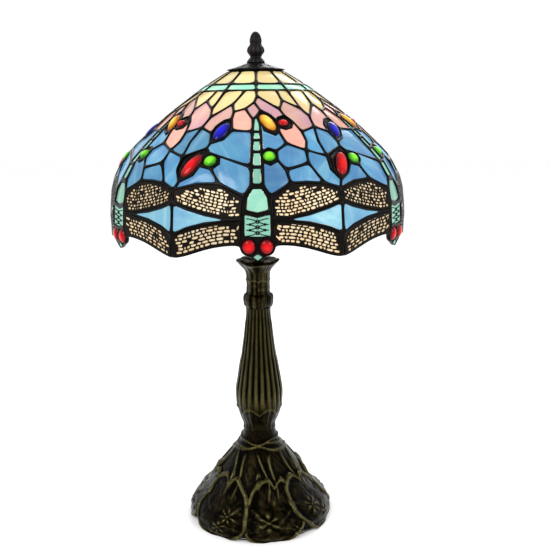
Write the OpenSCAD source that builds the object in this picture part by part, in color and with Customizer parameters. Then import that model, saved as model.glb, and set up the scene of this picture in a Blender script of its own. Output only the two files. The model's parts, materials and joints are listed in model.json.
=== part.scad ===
// Leaded glass table lamp: a domed dragonfly shade on a cast stem and foot.
// Origin: centre of the underside. +Z up, the front dragonfly faces -Y. Millimetres.

/* [Stand] */
// Radius of the foot where it meets the table
foot_r = 77; // [66:1:90]
// Height of the foot casting
foot_h = 96; // [84:1:110]
// Height of the fluted stem casting
stem_h = 134; // [112:1:160]
// Largest radius of the stem's bulge
stem_r = 24.8; // [21:0.1:29]
// Height of the turned collar above the stem
collar_h = 17; // [14:0.5:20]
// Height of the flared cup under the harp
cup_h = 33; // [28:0.5:39]
// Radius of the cup's lip
cup_r = 22.5; // [19:0.5:27]
// Wall of the hollow foot casting
foot_wall = 4; // [3:0.1:4.8]
// Outer radius of the threaded pipe
pipe_r = 4.8; // [4:0.1:5.6]
// Bore of the threaded pipe
pipe_bore_r = 3.4; // [2.8:0.1:3.9]

/* [Harp and socket] */
// Height of the harp from its saddle to the wire's crown
harp_h = 177; // [168:1:210]
// Half width of the harp between wire centres
harp_half_w = 50; // [42:1:60]
// Radius of the harp wire
wire_r = 2; // [1.6:0.1:2.3]
// Travel of the locking sleeves
sleeve_travel = 12; // [10:0.5:13]
// Outer radius of the socket shell
socket_r = 16.5; // [14.5:0.1:18]
// Height of the socket shell
socket_h = 44; // [38:1:50]
// Radius of the bulb's globe
bulb_r = 30; // [25:0.5:35]
// Length of the bulb from shell to crown
bulb_h = 92; // [78:1:95]

/* [Shade] */
// Radius of the shade at its widest
shade_r = 149.2; // [125:0.5:178]
// Thickness of the glass
glass_t = 2.8; // [2.2:0.1:3.4]
// Half width of an ordinary solder line
lead_w = 1.2; // [1:0.05:1.4]
// Half width of the heavy solder around the dragonfly
body_lead_w = 1.6; // [1.4:0.05:1.9]
// How far the solder stands proud of the glass
lead_proud = 0.9; // [0.7:0.05:1.1]
// Thickness of the brass filigree on the wings
filigree_t = 0.8; // [0.6:0.05:1]

/* [Top fittings] */
// Radius of the vented cap
cap_r = 28.6; // [28.2:0.1:34]
// Height of the vented cap
cap_h = 9.5; // [8:0.5:11]
// Height of the finial
finial_h = 30; // [25:0.5:36]
// Radius of the threaded stud that holds the shade
stud_r = 3.1; // [2.6:0.1:3.6]

/* [Hidden] */
$fn = 64;

bronze = [0.20, 0.17, 0.08];
brass = [0.78, 0.62, 0.32];
steel = [0.62, 0.62, 0.60];
patina = [0.06, 0.05, 0.04];

fit = 0.3;        // clearance between pieces that slip together
thread_fit = 0.1; // clearance of a screwed piece
glass_gap = 0.15; // clearance of the glass in its solder

// Levels of the stand, from the table up
felt_t = 1.5;
plate_t = 1.5;
stem_z = foot_h;
collar_z = stem_z + stem_h;
cup_z = collar_z + collar_h;
saddle_z = cup_z + cup_h;
saddle_t = 2;
nut_t = 4;
pipe_top = saddle_z + saddle_t + nut_t + 6;
plug_z = felt_t + plate_t;

// Levels of the socket and the bulb
socket_cap_z = saddle_z + saddle_t + nut_t + 0.5;
socket_cap_h = 16;
shell_z = socket_cap_z + socket_cap_h;
shell_top = shell_z + socket_h;
screw_r = 13;
bulb_z = shell_top + 1;

// Levels of the harp and the shade on top of it
crown_z = saddle_z + harp_h;
stud_base_r = 7;
stud_base_h = 10;
wheel_z = crown_z + stud_base_h / 2 + 0.2;
wheel_t = 1.5;
ring_h = 4.5;
shade_z = wheel_z + wheel_t + ring_h;
cap_z = shade_z;
finial_z = cap_z + cap_h + 0.2;

// ---- the stand -----------------------------------------------------------------

// Outline of the foot from the neck down to the table, as [radius, height]
foot_outline = [
    [17.4, 96], [18.4, 91], [19.8, 87], [22, 82], [26, 76], [31, 70], [35.5, 64],
    [40, 58], [44, 52], [48, 46], [51.5, 40], [57, 32], [61.5, 28], [66, 23.5],
    [70.5, 19.5], [74, 15], [76.2, 11], [77, 6], [77, 2], [76.4, 0]
];
function foot_point(p, off) = [p[0] * foot_r / 77 - off, p[1] * foot_h / 96];
foot_top_r = foot_point(foot_outline[0], 0)[0];
foot_boss_r = foot_top_r - 2;
foot_roof = foot_h - 14;
foot_out = [for (p = foot_outline) foot_point(p, 0)];
foot_in = [for (p = foot_outline) if (p[1] * foot_h / 96 < foot_roof - 6) foot_point(p, foot_wall)];

module ring(r_out, r_in, h) {
    difference() {
        cylinder(r = r_out, h = h);
        translate([0, 0, -1]) cylinder(r = r_in, h = h + 2);
    }
}

module hex_nut(across_flats, hole_r, h) {
    difference() {
        cylinder(r = across_flats / 2 / cos(30), h = h, $fn = 6);
        translate([0, 0, -1]) cylinder(r = hole_r, h = h + 2);
    }
}

pad_out = foot_r - foot_wall - 1;
pad_in = foot_r - 15;
module felt_pad() {
    color([0.10, 0.16, 0.10]) ring(pad_out, pad_in, felt_t);
}

plate_r = foot_r - foot_wall - fit;
screw_ring_r = pad_in - 8;
module bottom_plate() {
    color(steel) translate([0, 0, felt_t]) difference() {
        cylinder(r = plate_r, h = plate_t);
        for (a = [60:120:300]) rotate(a)
            translate([screw_ring_r, 0, -1]) cylinder(r = 2.2, h = plate_t + 2);
        translate([0, 0, -1]) cylinder(r = pipe_r + 4, h = plate_t + 2);
    }
}

weight_h = 17;
weight_out = foot_r - 17;
weight_in = 18;
module plate_screws() {
    color(steel) for (a = [60:120:300]) rotate(a) translate([screw_ring_r, 0, 0]) {
        translate([0, 0, felt_t - 1.2]) cylinder(r = 3.6, h = 1.2);
        translate([0, 0, felt_t]) cylinder(r = 2, h = plate_t + 9);
    }
}

module ballast_weight() {
    color([0.25, 0.25, 0.26]) translate([0, 0, plug_z]) difference() {
        cylinder(r = weight_out, h = weight_h);
        translate([0, 0, -1]) cylinder(r = weight_in, h = weight_h + 2);
        for (a = [60:120:300]) rotate(a)
            translate([screw_ring_r, 0, -1]) cylinder(r = 2 + thread_fit, h = 12);
    }
}

bushing_z = 12;
bushing_r = 6.5;
bushing_bore_r = 4;
module foot_casting() {
    color(bronze) difference() {
        rotate_extrude() polygon(concat([[0, foot_h]], foot_out, [[0, 0]]));
        rotate_extrude() polygon(concat([[foot_boss_r, foot_roof - 6]], foot_in,
            [[foot_in[len(foot_in) - 1][0], -1], [0, -1], [0, foot_roof - 20],
                [foot_boss_r, foot_roof - 20]]));
        cylinder(r = pipe_r + fit, h = foot_h + 1);
        translate([0, foot_r - foot_wall - 6, bushing_z]) rotate([-90, 0, 0])
            cylinder(r = bushing_r + thread_fit, h = 20);
    }
}

flange_t = 3;
bushing_y = foot_r - foot_wall - 4;
bushing_len = foot_r + 0.2 + flange_t - bushing_y;
module cord_bushing() {
    color([0.05, 0.05, 0.05]) translate([0, bushing_y, bushing_z]) rotate([-90, 0, 0])
        difference() {
            union() {
                cylinder(r = bushing_r, h = bushing_len - flange_t);
                translate([0, 0, bushing_len - flange_t])
                    cylinder(r1 = bushing_r + 2, r2 = bushing_r + 1, h = flange_t);
            }
            translate([0, 0, -1]) cylinder(r = bushing_bore_r, h = bushing_len + 2);
        }
}

// The nut and washer clamp the whole stack from inside the foot
boss_bottom = foot_roof - 20;
washer_t = 1.6;
module base_washer() {
    color(steel) translate([0, 0, boss_bottom - washer_t]) ring(11, pipe_r + thread_fit, washer_t);
}

module base_nut() {
    color(brass) translate([0, 0, boss_bottom - washer_t - nut_t]) hex_nut(16, pipe_r + 0.05, nut_t);
}

pipe_bottom = boss_bottom - washer_t - nut_t - 6;
module threaded_pipe() {
    color(steel) translate([0, 0, pipe_bottom]) ring(pipe_r, pipe_bore_r, pipe_top - pipe_bottom);
}

// Outline of the stem as [share of its height, radius less the bulge radius]
stem_outline = [
    [0, -7.6], [0.05, -7.6], [0.10, -5], [0.15, -2.7], [0.20, -0.7], [0.25, 0],
    [0.31, 0], [0.36, -0.6], [0.41, -1.7], [0.46, -2.8], [0.51, -3.9], [0.56, -5],
    [0.61, -6.5], [0.66, -7.4], [0.71, -8.3], [0.76, -9.2], [0.81, -10], [0.86, -10.6],
    [0.91, -11.6], [0.95, -12.1], [1, -11.8]
];
module stem_casting() {
    color(bronze) translate([0, 0, stem_z]) difference() {
        rotate_extrude() polygon(concat([[0, 0]],
            [for (p = stem_outline) [stem_r + p[1], p[0] * stem_h]], [[0, stem_h]]));
        translate([0, 0, -1]) cylinder(r = pipe_r + fit, h = stem_h + 2);
    }
}

// Turned collar between stem and cup, as [radius, share of its height]
collar_outline = [
    [13.2, 0], [14.6, 0.12], [15.4, 0.32], [15.8, 0.5], [15.2, 0.68], [14.2, 0.78],
    [12.6, 0.86], [12, 1]
];
module stem_collar() {
    color(bronze) translate([0, 0, collar_z]) difference() {
        rotate_extrude() polygon(concat([[0, 0]],
            [for (p = collar_outline) [p[0], p[1] * collar_h]], [[0, collar_h]]));
        translate([0, 0, -1]) cylinder(r = pipe_r + fit, h = collar_h + 2);
    }
}

// Flared cup, as [radius less the lip radius, share of its height]
cup_outline = [
    [-10.5, 0], [-10.4, 0.4], [-10, 0.55], [-8.9, 0.66], [-5.3, 0.79], [-1.2, 0.92], [0, 0.97], [-0.4, 1]
];
module drip_cup() {
    color(bronze) translate([0, 0, cup_z]) difference() {
        rotate_extrude() polygon(concat([[0, 0]],
            [for (p = cup_outline) [cup_r + p[0], p[1] * cup_h]], [[0, cup_h]]));
        translate([0, 0, -1]) cylinder(r = pipe_r + fit, h = cup_h + 2);
    }
}

// ---- harp, socket and bulb -----------------------------------------------------

// The harp stands in the YZ plane: one leg in front of the socket and one behind
stub_r = wire_r + 1.4;
sleeve_r = stub_r + fit + 1.1;
socket_wall = 0.8;
saddle_half = socket_r + socket_wall + sleeve_r + 1.5;
saddle_w = 12;
stub_h = 10;
stub_z = saddle_z + saddle_t;
module harp_saddle() {
    color(brass) translate([0, 0, saddle_z]) rotate(90) {
        difference() {
            translate([-saddle_half - stub_r, -saddle_w / 2, 0])
                cube([2 * (saddle_half + stub_r), saddle_w, saddle_t]);
            translate([0, 0, -1]) cylinder(r = pipe_r + thread_fit, h = saddle_t + 2);
        }
        for (s = [-1, 1]) translate([s * saddle_half, 0, saddle_t])
            ring(stub_r, wire_r + thread_fit, stub_h);
    }
}

module saddle_nut() {
    color(brass) translate([0, 0, saddle_z + saddle_t]) hex_nut(14, pipe_r + 0.05, nut_t);
}

// Right half of the harp: sleeve stub, outward bend, straight, upright, shoulder, crown
bend_r = 20;
bow_r = 40;
lean = 30;
crown_half = 9;
shoulder_r = harp_half_w - crown_half;
bend_z = stub_z + stub_h + sleeve_travel + 9;
bend_end = [saddle_half + bend_r * (1 - cos(lean)), bend_z + bend_r * sin(lean)];
bow_start_x = harp_half_w - bow_r * (1 - cos(lean));
lean_len = (bow_start_x - bend_end[0]) / sin(lean);
bow_start_z = bend_end[1] + lean_len * cos(lean);
upright_z = bow_start_z + bow_r * sin(lean);
shoulder_z = crown_z - shoulder_r;

// Points along an arc in the XZ plane, as [x, z]
function arc_points(c, r, a0, a1, n) = [for (i = [0:n]) let (a = a0 + (a1 - a0) * i / n)
    c + r * [cos(a), sin(a)]];
half_path = concat([[saddle_half, stub_z + 0.5]],
    arc_points([saddle_half + bend_r, bend_z], bend_r, 180, 180 - lean, 6),
    arc_points([harp_half_w - bow_r, upright_z], bow_r, -lean, 0, 6),
    arc_points([crown_half, shoulder_z], shoulder_r, 0, 90, 14));
harp_path = concat(half_path,
    [for (i = [len(half_path) - 1:-1:0]) [-half_path[i][0], half_path[i][1]]]);

// Round wire swept along a path in the XZ plane
wire_sides = 12;
function path_dir(p, i) = let (d = p[min(i + 1, len(p) - 1)] - p[max(i - 1, 0)]) d / norm(d);
module swept_wire(path, r) {
    n = len(path);
    points = [for (i = [0:n - 1], j = [0:wire_sides - 1]) let (
        d = path_dir(path, i), a = 360 * j / wire_sides)
        [path[i][0] - r * cos(a) * d[1], r * sin(a), path[i][1] + r * cos(a) * d[0]]];
    sides = [for (i = [0:n - 2], j = [0:wire_sides - 1]) let (j1 = (j + 1) % wire_sides)
        [i * wire_sides + j1, (i + 1) * wire_sides + j1, (i + 1) * wire_sides + j, i * wire_sides + j]];
    start = [for (j = [wire_sides - 1:-1:0]) j];
    end = [for (j = [0:wire_sides - 1]) (n - 1) * wire_sides + j];
    polyhedron(points, concat(sides, [start, end]), convexity = 4);
}

module harp_wire() {
    color(brass) rotate(90) swept_wire(harp_path, wire_r);
}

stud_top = finial_z + finial_h * 0.42;
module harp_stud() {
    color(brass) translate([0, 0, crown_z - stud_base_h / 2]) difference() {
        union() {
            cylinder(r = stud_base_r, h = stud_base_h);
            cylinder(r = stud_r, h = stud_top - crown_z + stud_base_h / 2);
        }
        translate([0, -stud_base_r - 1, stud_base_h / 2]) rotate([-90, 0, 0])
            cylinder(r = wire_r + 0.05, h = 2 * stud_base_r + 2);
    }
}

sleeve_h = 16;
module harp_sleeve(side) {
    color(brass) translate([0, side * saddle_half, stub_z + 0.2]) difference() {
        cylinder(r = sleeve_r, h = sleeve_h);
        translate([0, 0, -1]) cylinder(r = stub_r + fit, h = stub_h + 1 + fit);
        translate([0, 0, -1]) cylinder(r = wire_r + fit, h = sleeve_h + 2);
    }
}
module harp_sleeve_front() harp_sleeve(-1);
module harp_sleeve_back() harp_sleeve(1);

module socket_cap() {
    color(brass) translate([0, 0, socket_cap_z]) difference() {
        rotate_extrude() polygon([
            [pipe_r + thread_fit, 0], [8, 0], [8, 4], [socket_r - 3, 8],
            [socket_r + socket_wall, 12], [socket_r + socket_wall, socket_cap_h],
            [socket_r - socket_wall, socket_cap_h], [socket_r - 4, 9.5], [pipe_r + thread_fit, 5.5]
        ]);
    }
}

key_z = shell_z + 12;
module socket_shell() {
    color(brass) translate([0, 0, shell_z]) difference() {
        cylinder(r = socket_r, h = socket_h);
        translate([0, 0, -1]) cylinder(r = socket_r - socket_wall, h = socket_h + 2);
        translate([socket_r - 4, 0, 12]) rotate([0, 90, 0]) cylinder(r = 2.6, h = 6);
    }
}

liner_r = socket_r - socket_wall - 0.2;
module socket_liner() {
    color([0.55, 0.42, 0.28]) translate([0, 0, shell_z + 1]) difference() {
        ring(liner_r, liner_r - 0.8, socket_h - 3);
        translate([socket_r - 4, 0, 11]) rotate([0, 90, 0]) cylinder(r = 2.6, h = 6);
    }
}

core_r = liner_r - 1;
core_h = 20;
module socket_core() {
    color([0.08, 0.07, 0.06]) translate([0, 0, shell_z + 1]) difference() {
        cylinder(r = core_r, h = core_h);
        translate([0, 0, -1]) cylinder(r = 2, h = core_h + 2);
        translate([4, 0, 11]) rotate([0, 90, 0]) cylinder(r = 2 + thread_fit, h = core_r - 3);
    }
}

screw_z = shell_z + 1 + core_h;
module screw_shell() {
    color(brass) translate([0, 0, screw_z]) ring(screw_r + 1.1, screw_r + fit, socket_h - core_h - 3);
}

module centre_contact() {
    color(brass) translate([0, 0, screw_z]) cylinder(r1 = 4.5, r2 = 3, h = 1.2);
}

key_out = 12;
module switch_key() {
    color([0.08, 0.07, 0.06]) translate([socket_r, 0, key_z]) rotate([0, 90, 0]) {
        translate([0, 0, -8]) cylinder(r = 2, h = key_out + 8);
        translate([0, 0, key_out - 7]) cylinder(r1 = 3.4, r2 = 4.2, h = 4);
        translate([-2.2, -7.5, key_out - 3]) cube([4.4, 15, 6]);
    }
}

neck_r = 14;
globe_z = bulb_z + bulb_h - bulb_r;
bulb_wall = 0.9;
module bulb_form(r, neck, foot) {
    rotate_extrude() difference() {
        union() {
            translate([0, globe_z]) circle(r = r);
            polygon([[0, foot], [neck, foot], [neck + 0.6, bulb_z + 10], [neck + 6, bulb_z + 26],
                [r * cos(30), globe_z - r * sin(30)], [0, globe_z]]);
        }
        translate([-2 * r, foot - 1]) square([2 * r, 3 * bulb_h]);
    }
}

module bulb_glass() {
    color([1, 0.95, 0.82, 0.6]) difference() {
        bulb_form(bulb_r, neck_r, bulb_z);
        bulb_form(bulb_r - bulb_wall, neck_r - bulb_wall, bulb_z - 1);
    }
}

tip_z = screw_z + 1.4;
module bulb_base() {
    color(steel) union() {
        translate([0, 0, tip_z]) cylinder(r = 4.5, h = 1.6);
        translate([0, 0, tip_z + 1.6]) cylinder(r1 = 8, r2 = screw_r, h = 4);
        translate([0, 0, tip_z + 5.6]) cylinder(r = screw_r, h = bulb_z - tip_z - 5.6);
    }
}

stem_glass_h = 34;
module bulb_stem() {
    color([0.9, 0.92, 0.9, 0.5]) translate([0, 0, bulb_z]) {
        cylinder(r1 = 9, r2 = 4, h = 12);
        translate([0, 0, 12]) cylinder(r = 2.6, h = stem_glass_h - 12);
    }
}

// Four upright filament sticks around the glass stem
filament_h = 34;
module bulb_filaments() {
    color([1, 0.8, 0.3]) for (a = [45:90:315]) rotate(a) {
        translate([8, 0, bulb_z + 22]) cylinder(r = 1, h = filament_h);
        translate([2.6, -0.5, bulb_z + 22]) cube([5.4, 1, 1]);
    }
}

// ---- the form of the shade -----------------------------------------------------

// The form is three tangent arcs in section, given by radius and the slope at each joint
k = shade_r / 149.2;
mouth_r = 27;
arc_r = [464, 68, 136];
arc_slope = [30, 46, 79];
arc_1 = [mouth_r, 0];
function arc_step(i) = arc_r[i] * [
    sin(arc_slope[i + 1]) - sin(arc_slope[i]), cos(arc_slope[i]) - cos(arc_slope[i + 1])];
arc_2 = arc_1 + arc_step(0);
arc_3 = arc_2 + arc_step(1);
arc_start = [arc_1, arc_2, arc_3];
function arc_at(d) = d < arc_2[1] ? 0 : d < arc_3[1] ? 1 : 2;
function slope(d) = let (i = arc_at(d))
    acos(cos(arc_slope[i]) - (d - arc_start[i][1]) / arc_r[i]);
function form_r(d) = let (i = arc_at(d))
    arc_start[i][0] + arc_r[i] * (sin(slope(d)) - sin(arc_slope[i]));

// Glass is flat, so the form is flattened between the upright seams at top and wings
repeats = 6;
pitch = 360 / repeats;
body_half = 4.8;
function share(x, a, b) = min(1, max(0, (x - a) / (b - a)));
function chord(t, a, b) = t < a || t > b ? 1 : cos((b - a) / 2) / cos(t - (a + b) / 2);
function local_angle(t) = abs(t - pitch * round(t / pitch));
function flat_at(t, d) = let (u = local_angle(t),
    top = 1 - share(d, 20, 32), wing = share(d, 84, 99))
    1 - top * (1 - chord(u, 0, pitch / 2)) - wing * (1 - chord(u, body_half, pitch / 2));

// Point at angle t and drop d below the top edge, lifted off the form by off
function form_point(t, d, off = 0) = let (
    s = slope(max(d, 0)),
    r = k * form_r(max(d, 0)) * flat_at(t, d) + off * sin(s))
    [r * sin(t), -r * cos(t), shade_z - k * d + off * cos(s)];

// ---- the cartoon: one repeat of the pattern, as [angle, drop] --------------------

leaf_points = [
    /* 0 */ [-30, 0], [0, 0], [-30, 13], [0, 13], [-30, 19], [-10, 19], [0, 19], [19.5, 19],
    /* 8 */ [-30, 36], [-27.5, 43], [-16.5, 31.5], [-14, 38.5], [-7, 35.5], [-1.5, 30],
    /* 14 */ [0.5, 24.5], [15, 36.5], [19.5, 28.5], [-1.9, 45], [0.3, 41.5], [2.1, 48.5],
    /* 20 */ [-2.1, 55.5], [-2.1, 62.5], [-2.1, 72], [-2.1, 84], [-2.1, 98.5],
    /* 25 */ [2.1, 55.5], [2.1, 62.5], [2.1, 72], [2.1, 84], [2.1, 98.5],
    /* 30 */ [2.5, 37], [4, 54.5], [8.8, 58], [11, 55.5], [10.7, 46], [8, 41],
    /* 36 */ [11.2, 52], [14.5, 53.5], [18, 52], [20, 47], [16.5, 42], [12.5, 43.5],
    /* 42 */ [-29, 52], [22.5, 56], [13, 65.5], [20.7, 71.5], [22.8, 64], [4.8, 69],
    /* 48 */ [8, 71.5], [2.1, 80], [5, 82], [8, 79], [10.8, 86.5], [20, 81.5],
    /* 54 */ [11.8, 97.5], [24.5, 98.5], [-13.5, 97.5], [-22, 98], [-30, 103], [18, 97],
    /* 60 */ [-14, 44.5], [-17.8, 45.7], [-21.3, 50.5], [-22.3, 56.5], [-20.8, 65.5],
    /* 65 */ [-15.5, 61.5], [-12.2, 54], [-21.5, 69.2], [-26.5, 72.5], [-31, 76.5],
    /* 70 */ [-31.3, 87], [-28.7, 96.2], [-24, 90.5], [-21.8, 83], [-19.8, 72.8],
    /* 75 */ [-15, 75.3], [-14.6, 81], [-17.2, 85.2], [-31.3, 64],
    /* 79 */ [0, 123.5], [0, 142.5], [0, 154], [0, 163.5], [-30, 114], [-30, 141.5], [-30, 162.5]
];
// Right half of the dragonfly; its left half mirrors it
half_points = [
    [4.4, 107.5], [4.8, 120.5], [4.8, 126.5], [4.9, 142], [5.8, 148.5], [5.2, 155],
    [2.6, 158.5], [10.5, 127.3], [18, 123.4], [25, 118.7], [18, 130.8], [25, 135.5],
    [11, 149.5], [16, 152], [21, 156], [26, 160.5]
];
all_points = concat(leaf_points, half_points, [for (p = half_points) [-p[0], p[1]]]);
point_count = len(all_points);
next_repeat = 1000;
function nx(i) = i + next_repeat;
function rt(i) = len(leaf_points) + i;
function lf(i) = len(leaf_points) + len(half_points) + i;
belly = 79;      // foot of the abdomen
chin = 80;       // between thorax and eyes
brow = 81;       // between the eyes and the nose
nose_tip = 82;
seam_hi = 83;    // seams between neighbouring dragonflies
seam_lo = 84;
seam_rim = 85;

// Each cell: [kind, corners], and for a jewel also [centre, half length, half width, tilt]
cells = [
    ["cream_top", [0, 2, 3, 1]], ["cream_top", [1, 3, nx(2), nx(0)]],
    ["mint", [2, 4, 5, 6, 3]], ["mint", [3, 6, 7, nx(4), nx(2)]],
    ["petal", [4, 8, 9, 10, 5]], ["petal", [5, 10, 11, 12, 13, 14, 6]],
    ["petal", [6, 14, 15, 16, 7]], ["petal", [7, 16, nx(8), nx(4)]],
    ["rose", [16, 15, 40, 39, 43, nx(42), nx(9), nx(8)]],
    ["rose", [9, 42, 63, 62, 61, 60, 11, 10]],
    ["rose", [12, 17, 18, 30, 13]],
    ["rose", [13, 30, 35, 34, 41, 40, 15, 14]],
    ["peach", [11, 60, 66, 20, 17, 12]],
    ["peach", [33, 44, 45, 46, 43, 39, 38, 37, 36]],
    ["sky", [25, 26, 27, 47, 48, 44, 33, 32, 31, 19]],
    ["sky", [48, 51, 52, 53, 45, 44]],
    ["sky", [49, 28, 29, rt(0), 54, 52, 51, 50]],
    ["sky", [52, 54, 59, 55, 53]],
    ["sky", [45, 53, 55, nx(58), nx(71), nx(70), nx(69)]],
    ["sky", [43, 46, 45, nx(69), nx(78), nx(42)]],
    ["sky", [42, 78, 69, 68, 67, 64, 63]],
    ["sky", [20, 66, 65, 64, 67, 74, 75, 23, 22, 21]],
    ["sky", [75, 76, 77, 56, lf(0), 24, 23]],
    ["sky", [77, 73, 72, 71, 58, 57, 56]],
    ["gap", [rt(7), rt(10), rt(11), nx(seam_lo), nx(seam_hi), rt(9), rt(8)]],
    ["gap", [lf(7), lf(8), lf(9), seam_hi, seam_lo, lf(11), lf(10)]],
    ["tail", [17, 20, 25, 19, 18]], ["tail", [20, 21, 26, 25]], ["tail", [21, 22, 27, 26]],
    ["tail", [22, 23, 28, 49, 27]], ["tail", [23, 24, 29, 28]],
    ["abdomen", [24, lf(0), lf(1), belly, rt(1), rt(0), 29]],
    ["thorax", [lf(1), lf(2), lf(3), chin, rt(3), rt(2), rt(1), belly]],
    ["nose", [brow, lf(6), nose_tip, rt(6)]],
    ["upper_wing", [rt(0), rt(1), rt(2), rt(7), rt(8), rt(9), nx(seam_hi), nx(58), 55, 59, 54]],
    ["upper_wing", [lf(0), 56, 57, 58, seam_hi, lf(9), lf(8), lf(7), lf(2), lf(1)]],
    ["lower_wing", [rt(2), rt(3), rt(4), rt(12), rt(13), rt(14), rt(15), nx(seam_rim),
        nx(seam_lo), rt(11), rt(10), rt(7)]],
    ["lower_wing", [lf(2), lf(7), lf(10), lf(11), seam_lo, seam_rim, lf(15), lf(14), lf(13),
        lf(12), lf(4), lf(3)]],
    ["eye", [chin, brow, rt(6), rt(5), rt(4), rt(3)], [2.9, 149.5], 6.4, 5.7, 0],
    ["eye", [chin, lf(3), lf(4), lf(5), lf(6), brow], [-2.9, 149.5], 6.4, 5.7, 0],
    ["amber", [18, 19, 31, 32, 33, 36, 34, 35, 30], [6, 47.7], 11.2, 5.2, -25],
    ["small_red", [34, 36, 37, 38, 39, 40, 41], [14.2, 48.5], 4.8, 5.8, 0],
    ["cobalt", [60, 61, 62, 63, 64, 65, 66], [-17.3, 55], 11.2, 6, 21],
    ["large_red", [67, 68, 69, 70, 71, 72, 73, 74], [-25.5, 82.7], 16.2, 7.4, 27],
    ["green", [27, 49, 50, 51, 48, 47], [4.9, 75.7], 5.3, 5.3, 0],
    ["green", [74, 73, 77, 76, 75], [-18.2, 79.3], 5.6, 5.6, 0]
];
jewel_kinds = ["eye", "amber", "small_red", "cobalt", "large_red", "green"];
function is_jewel(c) = len(c) > 2;

// Free edges of the lattice: the top ring, and the rim from seam to seam
top_chain = [nx(0), 1, 0];
rim_chain = [
    seam_rim, lf(15), lf(14), lf(13), lf(12), lf(4), lf(5), lf(6), nose_tip,
    rt(6), rt(5), rt(4), rt(12), rt(13), rt(14), rt(15), nx(seam_rim)
];

// ---- geometry of a cell ----------------------------------------------------------

function unit(v) = v / norm(v);
function sum(list, i = 0) = i == len(list) - 1 ? list[i] : list[i] + sum(list, i + 1);
function corner(i) = i < next_repeat ? all_points[i]
    : all_points[i - next_repeat] + [pitch, 0];
function area(p) = sum([for (i = [0:len(p) - 1]) let (q = p[(i + 1) % len(p)])
    p[i][0] * q[1] - p[i][1] * q[0]]);
// Corners run the same way round every cell as it is seen from outside
function turned(ids) = area([for (i = ids) corner(i)]) < 0 ? ids
    : [for (j = [len(ids) - 1:-1:0]) ids[j]];
loops = [for (c = cells) turned(c[1])];

// Plane of a cell: [origin, across, up, outward]
function plane_of(pts) = let (
    o = sum(pts) / len(pts),
    n = unit(sum([for (i = [0:len(pts) - 1])
        cross(pts[i] - o, pts[(i + 1) % len(pts)] - o)])),
    e = unit(cross([0, 0, 1], n)))
    [o, e, cross(n, e), n];
function to_flat(f, p) = [(p - f[0]) * f[1], (p - f[0]) * f[2]];
function to_space(f, q, h) = f[0] + f[1] * q[0] + f[2] * q[1] + f[3] * h;

// Polygon moved inwards by w
function inset(p, w) = let (n = len(p)) [for (i = [0:n - 1]) let (
    a = unit(p[i] - p[(i + n - 1) % n]),
    b = unit(p[(i + 1) % n] - p[i]),
    na = [-a[1], a[0]],
    nb = [-b[1], b[0]])
    p[i] + w * (na + nb) / max(1 + na * nb, 0.3)];

abdomen_lead_w = 3;
function lead_of(kind) = kind == "abdomen" ? abdomen_lead_w
    : kind == "tail" || kind == "thorax" || kind == "nose"
        || kind == "upper_wing" || kind == "lower_wing" ? body_lead_w : lead_w;

cell_pts = [for (l = loops) [for (i = l) form_point(corner(i)[0], corner(i)[1])]];
cell_plane = [for (p = cell_pts) plane_of(p)];
cell_flat = [for (i = [0:len(cells) - 1]) [for (p = cell_pts[i]) to_flat(cell_plane[i], p)]];
function jewel_centre(i) = to_flat(cell_plane[i], form_point(cells[i][2][0], cells[i][2][1]));
// How much of its cell a jewel needs: the largest share that its oval takes towards an edge
jewel_clear = 1.04;
socket_share = 0.94;
function oval_reach(n, a, b, tilt) = norm([
    b * (n[0] * cos(tilt) - n[1] * sin(tilt)), a * (n[0] * sin(tilt) + n[1] * cos(tilt))]);
cell_need = [for (i = [0:len(cells) - 1]) !is_jewel(cells[i]) ? 0 : let (
    p = cell_flat[i], c = jewel_centre(i), m = len(p))
    max([for (j = [0:m - 1]) let (e = unit(p[(j + 1) % m] - p[j]), n = [e[1], -e[0]])
        jewel_clear * oval_reach(n, k * cells[i][3], k * cells[i][4], cells[i][5])
            / max((p[j] - c) * n, 0.5)])];
function jewel_scale(i) = min(1, socket_share / cell_need[i]);
function window(i) = is_jewel(cells[i])
    ? [for (p = cell_flat[i]) let (c = jewel_centre(i))
        c + min(socket_share, cell_need[i]) * (p - c)]
    : inset(cell_flat[i], lead_of(cells[i][0]));
cell_window = [for (i = [0:len(cells) - 1]) window(i)];

// ---- the solder lattice ------------------------------------------------------------

ridge = glass_t / 2 + lead_proud;
edge = glass_t / 2 + 0.2;
function spin(p, r) = let (a = r * pitch)
    [p[0] * cos(a) - p[1] * sin(a), p[0] * sin(a) + p[1] * cos(a), p[2]];
function ridge_index(r, i, side) = let (n = i < next_repeat ? 0 : 1)
    2 * (((r + n) % repeats) * point_count + i - n * next_repeat) + side;
loop_start = [for (i = 0, s = 0; i < len(loops); s = s + len(loops[i]), i = i + 1) s];
corner_count = sum([for (l = loops) len(l)]);
window_base = 2 * repeats * point_count;
function window_index(r, c, j, side) = window_base + 2 * (r * corner_count + loop_start[c] + j) + side;

lattice_points = concat(
    [for (r = [0:repeats - 1], p = all_points, h = [ridge, -ridge]) spin(form_point(p[0], p[1], h), r)],
    [for (r = [0:repeats - 1], c = [0:len(cells) - 1], q = cell_window[c], h = [edge, -edge])
        spin(to_space(cell_plane[c], q, h), r)]);
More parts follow.
